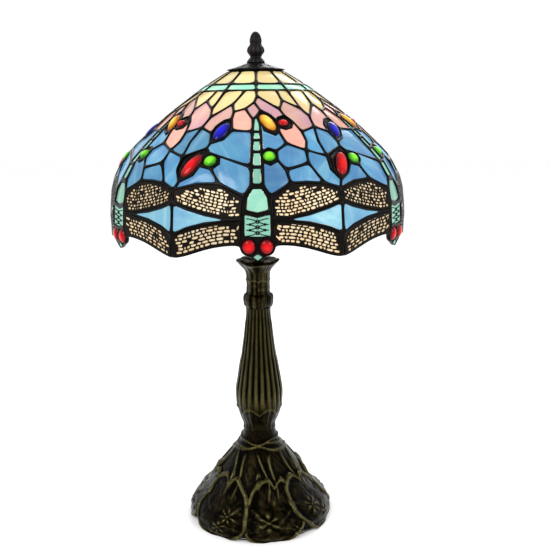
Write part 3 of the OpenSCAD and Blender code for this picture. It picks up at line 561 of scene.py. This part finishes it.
JEWEL_STEPS = 28
JEWEL_SWELL = 1.08
DOME_RINGS = 7
GIRDLE = 0.42
DOME_RISE = 0.62
BEZEL_R = 1.0 * MM
BEZEL_SIDES = 8
JEWEL_DEEP = 2.6 * MM
FILL_STEPS = 60
FILL_TUCK = 0.7 * MM


def add_lens(bm, dome, place, front, back):
    """A closed lens on an oval: front and back rings as (share of the oval, height)."""
    base, long_axis, short_axis, out, long_half, short_half = place
    rings = []
    for share, height in front + back:
        ring = []
        for i in range(JEWEL_STEPS):
            a = around(i, JEWEL_STEPS)
            spot = base + long_axis * (math.cos(a) * long_half * share) \
                + short_axis * (math.sin(a) * short_half * share) + out * height
            v = bm.verts.new(spot)
            v[dome] = 1 - share
            ring.append(v)
        rings.append(ring)
    caps = []
    for index, height in ((0, front[0][1]), (-1, back[-1][1])):
        v = bm.verts.new(base + out * height)
        v[dome] = 1.0 if index == 0 else 0.4
        caps.append(v)
    bridge(bm, rings)
    for i in range(JEWEL_STEPS):
        j = (i + 1) % JEWEL_STEPS
        bm.faces.new((caps[0], rings[0][j], rings[0][i]))
        bm.faces.new((caps[1], rings[-1][i], rings[-1][j]))


def add_bezel(bm, relief, place, height, thick):
    """A bead of solder that runs round an oval."""
    base, long_axis, short_axis, out, long_half, short_half = place
    rings = []
    for i in range(JEWEL_STEPS):
        a = around(i, JEWEL_STEPS)
        radial = (long_axis * (math.cos(a) / long_half)
                  + short_axis * (math.sin(a) / short_half)).normalized()
        centre = base + long_axis * (math.cos(a) * (long_half + thick * 0.75)) \
            + short_axis * (math.sin(a) * (short_half + thick * 0.75)) + out * height
        ring = []
        for j in range(BEZEL_SIDES):
            b = around(j, BEZEL_SIDES)
            v = bm.verts.new(centre + radial * (math.cos(b) * thick) + out * (math.sin(b) * thick * 1.1))
            # The bead's relief level: lighter on its outer side, darker on the side against the glass, as
            # painted shade.
            v[relief] = 0.35 + 0.25 * math.sin(b)
            ring.append(v)
        rings.append(ring)
    for i in range(JEWEL_STEPS):
        following = rings[(i + 1) % JEWEL_STEPS]
        for j in range(BEZEL_SIDES):
            k = (j + 1) % BEZEL_SIDES
            bm.faces.new((rings[i][j], following[j], following[k], rings[i][k]))


def add_fill(bm, relief, place, middle_z, walls):
    """Solder that fills a jewel's socket, from the oval out to the walls of its window."""
    base, long_axis, short_axis, out, long_half, short_half = place
    centre = base + out * middle_z
    rings = []
    for i in range(FILL_STEPS):
        a = around(i, FILL_STEPS)
        spoke = long_axis * math.cos(a) + short_axis * math.sin(a)
        reach = 1 / math.hypot(math.cos(a) / long_half, math.sin(a) / short_half)
        hit = walls.ray_cast(centre, spoke, reach * 3)
        wall = (hit[3] if hit[0] is not None else reach) + FILL_TUCK
        inner = centre + spoke * (reach * 0.96)
        outer = centre + spoke * max(wall, reach * 1.02)
        ring = [bm.verts.new(p + out * z * MM) for p, z in
                ((inner, 1.7), (outer, 1.3), (outer, -1.3), (inner, -1.7))]
        for v in ring:
            v[relief] = 0.35
        rings.append(ring)
    bridge(bm, rings + rings[:1])


def jewels(nodes):
    """Cabochons in place of the plain CAD jewels, and one mesh of the bezels round them."""
    lattice = merged("solder_lattice", flatten=False)
    walls = BVHTree.FromBMesh(lattice)
    lattice.free()
    bezels = bmesh.new()
    relief = bezels.verts.layers.float.new("relief")
    for node in nodes:
        source = merged(node)
        bm = bmesh.new()
        dome = bm.verts.layers.float.new("dome")
        for group in islands(source):
            base, long_axis, short_axis, out, long_half, short_half, low, high = oval_axes(group)
            place = (base, long_axis, short_axis, out, long_half * JEWEL_SWELL, short_half * JEWEL_SWELL)
            rise = high - low
            turns = [t * math.pi / 2 / DOME_RINGS for t in range(1, DOME_RINGS + 1)]
            front = [(math.sin(t), low + rise * (GIRDLE + DOME_RISE * math.cos(t))) for t in turns]
            back = [(0.96, low + rise * 0.2), (0.8, low + rise * 0.08), (0.5, low + rise * 0.01)]
            add_lens(bm, dome, place, front, back)
            add_bezel(bezels, relief, place, low + rise * GIRDLE, BEZEL_R)
            add_fill(bezels, relief, place, low + JEWEL_DEEP, walls)
        source.free()
        bmesh.ops.recalc_face_normals(bm, faces=bm.faces)
        stand_for(mesh_object(node + "_cabochons", bm, SLOT_OF[node], 180), node)
    bmesh.ops.recalc_face_normals(bezels, faces=bezels.faces)
    made = mesh_object("jewel_bezels", bezels, "solder", 180)
    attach(made, "shade")


# ---- pierced filigree of the wings ----

CELL_ROWS = 24
SHEET_MARGIN = 0.9 * MM
SHEET_WEB = 0.95 * MM
SHEET_TUCK = 0.55 * MM
SHEET_LOW = -0.8 * MM
SHEET_HIGH = 0.15 * MM


def span_at(polygon, x):
    """Lowest and highest crossing of a polygon with the upright line at x."""
    cuts = []
    for (ax, ay), (bx, by) in zip(polygon, polygon[1:] + polygon[:1]):
        if (ax - x) * (bx - x) < 0:
            cuts.append(ay + (by - ay) * (x - ax) / (bx - ax))
    return (min(cuts), max(cuts)) if len(cuts) >= 2 else None


def pierced_cells(polygon, row_h, cell_l, margin, web, dice, wild):
    """Small rounded holes in rows that follow the wing's lower edge, like courses of brick."""
    xs = [p[0] for p in polygon]
    low_x, high_x = min(xs) + margin, max(xs) - margin
    holes = []
    for row in range(CELL_ROWS):
        x = low_x + dice.uniform(-0.5, 0.2) * cell_l
        while x < high_x:
            length = cell_l * dice.uniform(0.55, 1.5)
            lean = dice.uniform(-wild, wild)
            hole = cell_outline(polygon, x, x + length, row, row_h, margin, web, lean, dice)
            if hole and dice.random() > 0.04:
                holes.append(hole)
            x += length
    return holes


def cell_outline(polygon, x0, x1, row, row_h, margin, web, lean, dice):
    """One hole, or None where it would leave the wing."""
    corners = []
    for x, level in ((x0, 0), (x1, 0), (x1, 1), (x0, 1)):
        span = span_at(polygon, x)
        if not span:
            return None
        low, high = span[0] + margin, span[1] - margin
        y0 = low + row * row_h
        y1 = min(y0 + row_h, high)
        if y1 - y0 < row_h * 0.55:
            return None
        corners.append(Vector((x + lean * (level - 0.5), y0 if level == 0 else y1)))
    centre = sum(corners, Vector((0, 0))) / 4
    wide, tall = (x1 - x0) / 2, (corners[2].y - corners[1].y) / 2
    if wide < web * 0.9 or tall < web * 0.7:
        return None
    shrink = Vector((max(0.2, 1 - web / 2 / wide), max(0.2, 1 - web / 2 / tall)))
    points = []
    for index in range(4):
        a, b = corners[index], corners[(index + 1) % 4]
        for part in (0.22, 0.78):
            step = a.lerp(b, part) - centre
            jitter = Vector((dice.uniform(-0.24, 0.24), dice.uniform(-0.18, 0.18))) * MM
            points.append(centre + Vector((step.x * shrink.x, step.y * shrink.y)) + jitter)
    return points


def add_sheet(bm, outline, holes, place, low, high):
    """A flat sheet with real holes, from low to high above the plate's origin."""
    origin, across, up, out = place
    flat = [Vector(p) for p in outline]
    edges = [(i, (i + 1) % len(flat)) for i in range(len(flat))]
    loops = [list(range(len(flat)))]
    for hole in holes:
        start = len(flat)
        flat += hole
        loops.append(list(range(start, start + len(hole))))
        edges += [(start + i, start + (i + 1) % len(hole)) for i in range(len(hole))]
    points, _, faces, _, _, origs = delaunay_2d_cdt(flat, edges, loops, 0, 1e-7)
    faces = [f for f, within in zip(faces, origs) if list(within) == [0]]
    tops = [bm.verts.new(origin + across * p.x + up * p.y + out * high) for p in points]
    feet = [bm.verts.new(origin + across * p.x + up * p.y + out * low) for p in points]
    border = {}
    for face in faces:
        bm.faces.new([tops[i] for i in face])
        bm.faces.new([feet[i] for i in reversed(face)])
        for a, b in zip(face, list(face[1:]) + [face[0]]):
            border[(a, b)] = border.get((a, b), 0) + 1
    for a, b in border:
        if (b, a) not in border:
            bm.faces.new((tops[b], tops[a], feet[a], feet[b]))


def grown(outline, step):
    """An outline moved outwards by step, so that its sheet tucks into the solder round it."""
    area = sum(a.x * b.y - b.x * a.y for a, b in zip(outline, outline[1:] + outline[:1]))
    side = 1 if area > 0 else -1
    result = []
    for before, spot, after in zip(outline[-1:] + outline[:-1], outline, outline[1:] + outline[:1]):
        normals = []
        for edge in (spot - before, after - spot):
            edge = edge.normalized()
            normals.append(Vector((edge.y, -edge.x)) * side)
        bend = max(1 + normals[0].dot(normals[1]), 0.35)
        result.append(spot + (normals[0] + normals[1]) * (step / bend))
    return result


def wing_filigree(node, row_h, cell_l, wild):
    """Pierced brass over the wings, cut to each wing's own outline."""
    source = merged(node)
    bm = bmesh.new()
    dice = random.Random(node)
    for group in islands(source):
        face = outer_face(group)
        place = plate_frame(face)
        origin, across, up, out = place
        outline = [((v.co - origin).dot(across), (v.co - origin).dot(up)) for v in face.verts]
        border = grown([Vector(p) for p in outline], SHEET_TUCK)
        holes = pierced_cells(outline, row_h, cell_l, SHEET_MARGIN, SHEET_WEB, dice, wild)
        add_sheet(bm, border, holes, place, SHEET_LOW, SHEET_HIGH)
    source.free()
    bmesh.ops.remove_doubles(bm, verts=bm.verts, dist=0.001 * MM)
    bmesh.ops.recalc_face_normals(bm, faces=bm.faces)
    made = mesh_object(node + "_pierced", bm, "filigree")
    return stand_for(made, node)


def wire_tree(finish):
    """Geometry Nodes that sweep a round wire along every line of a mesh."""
    tree = bpy.data.node_groups.new("wire_along_lines", "GeometryNodeTree")
    for name, way, kind in (("Lines", "INPUT", "NodeSocketGeometry"),
                            ("Wire Radius", "INPUT", "NodeSocketFloat"),
                            ("Wire Sides", "INPUT", "NodeSocketInt"),
                            ("Wires", "OUTPUT", "NodeSocketGeometry")):
        tree.interface.new_socket(name=name, in_out=way, socket_type=kind)
    given, lines, ring, sweep, whole, dress, result = (tree.nodes.new(kind) for kind in (
        "NodeGroupInput", "GeometryNodeMeshToCurve", "GeometryNodeCurvePrimitiveCircle",
        "GeometryNodeCurveToMesh", "GeometryNodeRealizeInstances", "GeometryNodeSetMaterial",
        "NodeGroupOutput"))
    sweep.inputs["Fill Caps"].default_value = True
    dress.inputs["Material"].default_value = FINISH[finish]
    for source, put, target, take in (
            (given, "Lines", lines, "Mesh"), (given, "Wire Radius", ring, "Radius"),
            (given, "Wire Sides", ring, "Resolution"), (lines, "Curve", sweep, "Curve"),
            (ring, "Curve", sweep, "Profile Curve"), (sweep, "Mesh", whole, "Geometry"),
            (whole, "Geometry", dress, "Geometry"), (dress, "Geometry", result, "Wires")):
        tree.links.new(source.outputs[put], target.inputs[take])
    return tree


def grow(made, tree, sizes):
    """Runs the tree on the object with these sizes and keeps the result as a plain mesh."""
    rule = made.modifiers.new("rule", "NODES")
    rule.node_group = tree
    for socket in tree.interface.items_tree:
        if socket.in_out == "INPUT" and socket.name in sizes:
            rule[socket.identifier] = sizes[socket.name]
    bpy.context.view_layer.update()
    grown_mesh = bpy.data.meshes.new_from_object(
        made.evaluated_get(bpy.context.evaluated_depsgraph_get()))
    made.modifiers.remove(rule)
    made.data = grown_mesh
    grown_mesh.shade_smooth()
    return made


def add_line(bm, path):
    spots = [bm.verts.new(spot) for spot in path]
    for start, end in zip(spots, spots[1:]):
        bm.edges.new((start, end))


WIRE_R = 0.43 * MM
WIRE_SIDES = 8
WIRE_LIFT = 0.45 * MM
WIRE_ROWS = (2.6, -2.2, -7)
WIRE_HALF = 9.4
WIRE_SWING = 2.5
WIRE_STEPS = 14
LOOP_R = 1.5
DOT_R = 0.8
DOTS = [(-6.4, 0.2), (-6.4, -4.6), (6.4, 0.2), (6.4, -4.6)]


def thorax_wires():
    """Crossed wires, loops and dots that lie over each thorax."""
    source = merged("thorax_glass")
    bm = bmesh.new()
    for group in islands(source):
        origin, across, up, out = plate_frame(outer_face(group))

        def spot(x, y):
            return origin + across * (x * MM) + up * (y * MM) + out * WIRE_LIFT

        def circle(x, y, radius, steps):
            turns = [math.pi * t / steps for t in range(2 * steps + 1)]
            return [spot(x + radius * math.cos(a), y + radius * math.sin(a)) for a in turns]

        for y in WIRE_ROWS:
            for side in (-1, 1):
                add_line(bm, [spot(-WIRE_HALF + 2 * WIRE_HALF * t / WIRE_STEPS,
                                   y + side * WIRE_SWING * math.cos(math.pi * t / WIRE_STEPS))
                              for t in range(WIRE_STEPS + 1)])
            add_line(bm, circle(0, y, LOOP_R, 5))
        for x, y in DOTS:
            add_line(bm, circle(x, y, DOT_R, 4))
    source.free()
    made = mesh_object("thorax_wires", bm, "filigree")
    grow(made, wire_tree("filigree"), {"Wire Radius": WIRE_R, "Wire Sides": WIRE_SIDES})
    return stand_for(made, "thorax_filigree")


# ---- cast stand ----

def smooth_line(points, count):
    """Catmull-Rom curve through outline points, at even steps of its parameter."""
    pts = [Vector(p) for p in points]
    pts = [2 * pts[0] - pts[1]] + pts + [2 * pts[-1] - pts[-2]]
    line = []
    for i in range(count + 1):
        t = i / count * (len(points) - 1)
        k = min(int(t), len(points) - 2)
        f = t - k
        a, b, c, d = pts[k:k + 4]
        line.append(0.5 * ((2 * b) + (c - a) * f + (2 * a - 5 * b + 4 * c - d) * f * f
                           + (3 * b - a - 3 * c + d) * f * f * f))
    return line


def wear_and_shade(rise, level):
    """How rubbed each spot is and how much painted shade it takes: lighter where it stands proud of its
    surroundings, darker where it sinks below them, as painted shade in the grooves, and what carve() asked
    for.
    """
    around = np.zeros_like(rise)
    count = 0
    for reach in (2, 4, 7):
        for di, dj in ((reach, 0), (-reach, 0), (0, reach), (0, -reach)):
            moved = np.roll(rise, dj, axis=1)
            rows = np.clip(np.arange(len(rise)) + di, 0, len(rise) - 1)
            around += moved[rows]
            count += 1
    return np.clip(0.36 + 0.8 * (rise - around / count) + 0.42 * (level - 0.25), 0, 1.15)


def cast(name, node, outline, rows, steps, carve, inner, finish="bronze"):
    """A turned casting: the outline is carved by carve(angle, share, radius, height) in mm,
    which gives (rise, level, lift); inner is the plain line back up inside, as (r, z)."""
    line = smooth_line(outline, rows)
    carved = np.array([[carve(360 * j / steps, i / rows, p.x, p.y) for j in range(steps)]
                       for i, p in enumerate(line)])
    # Each spot's relief level: rubbed wear where it stands proud, patina and painted shade in the grooves.
    rubbed = wear_and_shade(carved[:, :, 0], carved[:, :, 1])
    bm = bmesh.new()
    relief = bm.verts.layers.float.new("relief")
    rings = []

    def add_ring(radii, heights, levels):
        ring = []
        for j in range(steps):
            a = around(j, steps)
            v = bm.verts.new((radii[j] * math.sin(a) * MM, -radii[j] * math.cos(a) * MM,
                              max(heights[j], 0) * MM))
            v[relief] = levels[j]
            ring.append(v)
        rings.append(ring)

    for i, point in enumerate(line):
        ahead = line[min(i + 1, rows)] - line[max(i - 1, 0)]
        away = Vector((-ahead.y, ahead.x)).normalized()
        if away.x < 0:
            away.negate()
        rise, lift = carved[i, :, 0], carved[i, :, 2]
        add_ring(point.x + away.x * rise, point.y + away.y * rise + lift, rubbed[i])
    for r, z in inner:
        add_ring([r] * steps, [z] * steps, [0.2] * steps)
    bridge(bm, rings + rings[:1])
    bmesh.ops.recalc_face_normals(bm, faces=bm.faces)
    return stand_for(mesh_object(name, bm, finish, 180), node)


def bump_at(x, centre, width):
    """A smooth bump: 1 at its centre, and soon 0 past its width."""
    return math.exp(-((x - centre) / width) ** 2)


def near(angle, centre):
    """Signed difference between two angles, in degrees."""
    return (angle - centre + 180) % 360 - 180


PADS = 7
PAD_START = 12
PAD_LEAN = [-0.12, 0.28, 0.1, -0.2, 0.25, -0.1, 0.15]


def pad_outline(x, y):
    """How far a spot lies out from a pad's middle: 1 at its rim, which has a notch at its top."""
    bearing = math.atan2(x, y)
    notch = 1 - 0.26 * bump_at(bearing, 0.1, 0.17)
    wave = 1 + 0.025 * math.sin(7 * bearing)
    return math.hypot(x / 35, y / 37) / (notch * wave)


def pad_relief(angle, radius, up):
    """Overlapping lily pads with raised rims; each one lies over the next round to its left."""
    for index in range(PADS - 1, -1, -1):
        turn = near(angle, PAD_START + index * 360 / PADS)
        x = math.radians(turn) * (radius * 0.45 + 42) + PAD_LEAN[index] * (up - 30)
        d = pad_outline(x, up - 34)
        if d > 1.07:
            continue
        rim = bump_at(d, 0.985, 0.05)
        inside = unit((1 - d) / 0.12)
        bearing = math.atan2(x, up - 24)
        vein = bump_at(math.sin(bearing * 3.5), 0, 0.16) * inside * 0.3
        fold = 0.8 * noise.noise(Vector((x * 0.11, up * 0.11, index))) \
            + 0.35 * noise.noise(Vector((x * 0.3, up * 0.3, index)))
        dish = -0.7 * inside + 0.5 * d
        return 1.3 + dish + 1.5 * rim + vein + fold * 0.6, 0.20 + 0.8 * rim + 0.25 * vein + 0.25 * fold
    return 0.0, 0.16


BLOSSOMS = [(7, 30, 11, 6), (-30, 33, 9, 7), (-36, 18, 8, 6), (55, 36, 10, 7), (66, 22, 8, 5),
            (30, 16, 6, 5), (110, 30, 11, 6), (128, 17, 7, 5), (160, 32, 10, 7), (-86, 28, 10, 6),
            (-100, 42, 8, 5), (-140, 30, 11, 6), (-160, 18, 7, 5)]
BUDS = [(-2, 68), (64, 72), (118, 66), (171, 70), (-142, 68), (-84, 72), (-40, 66)]


def blossom_relief(x, y, size, petals):
    """A water-lily star of narrow petals round a small heart."""
    d = math.hypot(x, y)
    if d > size * 1.4:
        return 0
    ray = abs(math.cos(petals * math.atan2(x, y) / 2)) ** 5
    petal = ray * bump_at(d, size * 0.6, size * 0.38)
    return petal + 0.9 * bump_at(d, 0, size * 0.14)


def stalk_relief(angle, radius, up):
    """Stalks that wind down from the neck and curl into the notches of the pads."""
    level = 0
    for index in range(PADS * 2):
        side = 1 if index % 2 else -1
        centre = PAD_START + (index // 2) * 360 / PADS
        share = unit((up - 50) / 42)
        path = centre + side * (3.5 + 9 * share ** 1.5) + 5 * math.sin(share * 4 + index)
        x = math.radians(near(angle, path)) * radius
        if 0 < share < 1:
            level = max(level, bump_at(x, 0, 1.5) * math.sin(math.pi * share) ** 0.35)
    return level


def swag_relief(angle, height):
    """Three rolled bands that sag and cross round the neck."""
    level = 0
    for start, sag, turn, wide in ((81, 3.0, 20, 1.5), (85.5, 2.2, -60, 1.2), (77, 3.4, 100, 1.3)):
        line = start + sag * sine(angle * 2 + turn) + 0.8 * sine(angle * 5 + turn)
        level = max(level, bump_at(height, line, wide))
    return level


FOOT_SLOPE = 118


def carve_foot(angle, share, radius, height):
    """Pads, blossoms, stalks, buds and bands, and the lobed hem of the foot."""
    up = (1 - share) * FOOT_SLOPE
    rise, level = pad_relief(angle, radius, up)
    for centre, low, size, petals in BLOSSOMS:
        x = math.radians(near(angle, centre)) * radius
        star = blossom_relief(x, up - low, size, petals)
        rise += 1.2 * star
        level += 0.42 * star
    stalk = stalk_relief(angle, radius, up)
    rise = max(rise, 0.4 * rise + 1.9 * stalk)
    level = max(level, 0.85 * stalk)
    for centre, low in BUDS:
        x = math.radians(near(angle, centre)) * radius
        bud = min(1, 1.6 * math.exp(-((x / 3.4) ** 2 + ((up - low) / 8) ** 2) ** 1.5))
        rise += 1.8 * bud
        level += 0.3 * bud
    swag = swag_relief(angle, height)
    rise += 1.5 * swag
    level = max(level, 0.62 * swag)
    lobe = abs(math.cos(math.radians((angle - PAD_START) * PADS / 2)))
    low = unit((24 - height) / 24)
    rise += low * (3.0 * lobe ** 0.7 - 4.2) - 0.6
    hem = bump_at(height, 3.4, 2.2)
    rise += 0.7 * hem
    level = max(level, 0.7 * hem)
    grain = noise.noise(Vector((angle * 0.25, height * 0.25, 3)))
    return rise + 0.22 * grain, level - 0.12 + 0.12 * grain, 0.0


FLUTES = 22


def carve_stem(angle, share, radius, height):
    """Flutes that start above a line of leaves, and the wear-scarred blades of the leaves below it."""
    wave = abs(sine(angle * FLUTES / 2))
    leaf_line = 118 + 7 * abs(sine(angle * 3.5))
    above = unit((height - leaf_line) / 16)
    depth = (0.5 + 0.07 * (radius - 12)) * (0.12 + 0.88 * above) * min(1, share / 0.05)
    wiggle = 0.35 * noise.noise(Vector((angle * 0.1, height * 0.05, 1)))
    blade = 0.7 * bump_at(height, leaf_line - 3, 1.6) * (1 - above)
    vein = 0.5 * (1 - above) * bump_at(sine(angle * 3.5 + 90), 0, 0.1)
    scar = 0.4 * max(noise.noise(Vector((angle * 0.22, height * 0.16, 5))), 0) * (1 - above)
    rise = (wave ** 0.55 - 0.8) * depth * 1.7 + wiggle + blade + vein + scar
    level = 0.2 + 0.8 * wave ** 4 * above + 0.3 * blade + 0.6 * bump_at(height, 129, 9)
    return rise, level, 0.0


def carve_bark(angle, share, radius, height):
    """Stalk-like skin of the collar and the cup: long uneven ribs."""
    x, y = math.cos(math.radians(angle)), sine(angle)
    rib = noise.noise(Vector((x * 5, y * 5, height * 0.02)))
    fine = noise.noise(Vector((x * 13, y * 13, height * 0.03)))
    knot = noise.noise(Vector((angle * 0.02, height * 0.25, 7)))
    rise = 0.9 * rib + 0.5 * fine + 0.5 * knot
    return rise, 0.3 + 0.5 * rib, 0.0


def carve_cup(angle, share, radius, height):
    """The skin of the collar, with a scalloped band and a wavy, lobed lip."""
    rise, level, _ = carve_bark(angle, share, radius, height)
    flare = unit((radius - 13) / 9)
    lift = flare * (1.5 * math.cos(math.radians(2 * angle + 180)) - 0.9
                    + 0.5 * sine(5 * angle + 40))
    lip = bump_at(radius, 22, 1.4)
    scallop = 258 + 1.6 * abs(sine(angle * 4))
    band = bump_at(height, scallop, 1.0) * (1 - flare)
    point = flare * 1.1 * math.cos(math.radians(4 * angle + 15))
    rise = rise * (1 - 0.4 * flare) + 0.8 * band + point - 0.6 * flare
    return rise, level + 0.5 * lip + 0.35 * band + 0.25, lift


def carve_finial(angle, share, radius, height):
    lobes = abs(sine(angle * 6))
    swell = unit((radius - 5.2) / 3)
    rise = (lobes ** 0.6 - 0.7) * 0.7 * swell
    return rise, 0.3 + 0.5 * lobes * swell, 0.0


PIPE_BORE = 5.1
FOOT_DRAWN_R = 77
FOOT_DRAWN_H = 96


def reach_of(node):
    """A turned node's radius and top, in mm."""
    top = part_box(node)[1]
    return top.x / MM, top.z / MM


def build_stand():
    """The four castings; the foot's outline is drawn at one size and scaled to the CAD's."""
    foot_r, foot_top = reach_of("foot_casting")
    stem_r, stem_top = reach_of("stem_casting")
    collar_top = reach_of("stem_collar")[1]
    cup_r, cup_top = reach_of("drip_cup")
    s = foot_r / FOOT_DRAWN_R
    foot = [(17.4, 96), (18.4, 91), (19.8, 87), (22, 82), (26, 76), (31, 70), (35.5, 64), (40, 58),
            (44, 52), (48, 46), (51.5, 40), (57, 32), (61.5, 28), (66, 23.5), (70.5, 19.5), (74, 15),
            (76.2, 11), (76.6, 6), (76.4, 2), (75.6, 0.1)]
    foot = [(r * s, z * foot_top / FOOT_DRAWN_H) for r, z in foot]
    inside = [(72, 0.1), (72, 11), (66, 19), (53, 32), (40, 52), (22, 74), (PIPE_BORE, 76),
              (PIPE_BORE, foot_top)]
    cast("foot_relief", "foot_casting", foot, 170, 400, carve_foot, inside)
    tall = stem_top - foot_top
    dip = [(1, -11.8), (0.95, -12.1), (0.91, -11.6), (0.86, -10.6), (0.81, -10), (0.76, -9.2),
           (0.71, -8.3), (0.66, -7.4), (0.61, -6.5), (0.56, -5), (0.51, -3.9), (0.46, -2.8),
           (0.41, -1.7), (0.36, -0.6), (0.31, 0), (0.25, 0), (0.20, -0.7), (0.15, -2.7), (0.10, -5),
           (0.05, -7.6), (0, -7.6)]
    stem = [(stem_r + d, foot_top + h * tall) for h, d in dip]
    cast("stem_fluted", "stem_casting", stem, 110, 288, carve_stem,
         [(PIPE_BORE, foot_top), (PIPE_BORE, stem_top)])
    h = collar_top - stem_top
    ring = [(12, 1), (12.6, 0.86), (14.2, 0.78), (15.2, 0.68), (15.8, 0.5), (15.4, 0.32), (14.6, 0.12),
            (13.2, 0)]
    collar = [(r, stem_top + z * h) for r, z in ring]
    cast("collar_turned", "stem_collar", collar, 36, 160, carve_bark,
         [(PIPE_BORE, stem_top), (PIPE_BORE, collar_top)])
    h = cup_top - collar_top
    lip = [(-5, 1.0), (-1.2, 1.0), (0, 0.965), (-1.2, 0.92), (-5.3, 0.79), (-8.9, 0.66), (-10, 0.55),
           (-10.4, 0.4), (-10.5, 0.2), (-10.5, 0)]
    cup = [(cup_r + r, collar_top + z * h) for r, z in lip]
    cast("cup_flared", "drip_cup", cup, 60, 160, carve_cup,
         [(PIPE_BORE, collar_top), (PIPE_BORE, cup_top - 1)])


def build_finial():
    low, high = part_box("finial")
    tall = (high.z - low.z) / MM
    start = low.z / MM
    shape = [(0.4, 1), (2.6, 0.97), (4.1, 0.91), (5.1, 0.84), (5.8, 0.76), (6, 0.68), (5.7, 0.62),
             (6.2, 0.56), (7.9, 0.48), (8.6, 0.4), (8.3, 0.34), (6.6, 0.26), (5.6, 0.18), (7, 0.12),
             (8.9, 0.03), (8.6, 0)]
    line = [(r, start + z * tall) for r, z in shape]
    cast("finial_ribbed", "finial", line, 90, 96, carve_finial, [(0.2, start), (0.2, start + tall)],
         "dark_metal")


# ---- the whole object ----

def build_shade():
    for node in ("cream_top_glass", "mint_band_glass", "cream_petal_glass", "rose_glass", "peach_glass",
                 "sky_glass", "wing_gap_glass", "tail_glass", "abdomen_glass", "thorax_glass", "nose_glass",
                 "upper_wing_glass", "lower_wing_glass"):
        panes(node)
    solder_web()
    jewels(["eye_jewels", "amber_jewels", "cobalt_jewels", "green_jewels", "large_red_jewels",
            "small_red_jewels"])
    wing_filigree("upper_wing_filigree", 2.8 * MM, 3.9 * MM, 1.1 * MM)
    wing_filigree("lower_wing_filigree", 3.0 * MM, 4.9 * MM, 0.4 * MM)
    thorax_wires()


def build_fittings():
    for node in ("bottom_plate", "plate_screws", "ballast_weight", "cord_bushing", "base_nut",
                 "base_washer", "threaded_pipe", "harp_saddle", "saddle_nut", "harp_stud",
                 "harp_sleeve_front", "harp_sleeve_back", "socket_cap", "socket_shell", "socket_liner",
                 "socket_core", "screw_shell", "centre_contact", "switch_key", "bulb_base",
                 "shade_wheel", "shade_top_ring", "finial_insert", "felt_pad"):
        eased(node)
    for node in ("vented_cap", "harp_wire", "bulb_glass", "bulb_stem", "bulb_filaments"):
        eased(node, width=0, angle=60)


FLOOR_SIZE = 6
LIGHT_SIZE = 0.8
LIGHTS = (("key", (-0.9, -1.2, 1.3), 14), ("fill", (1.2, -0.9, 0.9), 7), ("back", (0.3, 1.2, 1.2), 8))
LIGHTS_AIM = Vector((0, 0, 0.3))


def set_stage():
    """White surroundings, a pale floor and three soft lights."""
    world = bpy.data.worlds.new("studio")
    bpy.context.scene.world = world
    world.use_nodes = True
    sky = world.node_tree.nodes["Background"]
    sky.inputs[0].default_value = (1, 1, 1, 1)
    sky.inputs[1].default_value = 1.0
    bm = bmesh.new()
    bmesh.ops.create_grid(bm, x_segments=8, y_segments=8, size=FLOOR_SIZE)
    mesh = bpy.data.meshes.new("floor")
    bm.to_mesh(mesh)
    bm.free()
    floor = add_object("floor", mesh)
    pale, _, face = principled("pale floor")
    preset(face, Base_Color=(0.99, 0.99, 0.99, 1), Roughness=0.9)
    mesh.materials.append(pale)
    for name, place, power in LIGHTS:
        light = bpy.data.lights.new(name, "AREA")
        light.size = LIGHT_SIZE
        light.energy = power
        lamp = add_object(name, light)
        lamp.location = place
        lamp.rotation_euler = (LIGHTS_AIM - Vector(place)).to_track_quat("-Z", "Y").to_euler()
    bpy.context.scene.view_settings.view_transform = "Standard"


CAMERA_BACK = 0.8192
CAMERA_UP = 0.43315
CAMERA_PITCH = 11.71
CAMERA_ROLL = 0.587
CAMERA_LENS = 52.41
CAMERA_SHIFT = 0.0309
CAMERA_SENSOR = 36


def set_camera():
    data = bpy.data.cameras.new("camera")
    data.lens = CAMERA_LENS
    data.sensor_width = CAMERA_SENSOR
    data.shift_x = CAMERA_SHIFT
    data.clip_start = 0.01
    camera = add_object("camera", data)
    camera.matrix_world = (Matrix.Translation((0, -CAMERA_BACK, CAMERA_UP))
                           @ Matrix.Rotation(math.radians(90 - CAMERA_PITCH), 4, "X")
                           @ Matrix.Rotation(math.radians(-CAMERA_ROLL), 4, "Z"))
    bpy.context.scene.camera = camera


set_camera()
set_stage()
build_stand()
build_finial()
build_shade()
build_fittings()
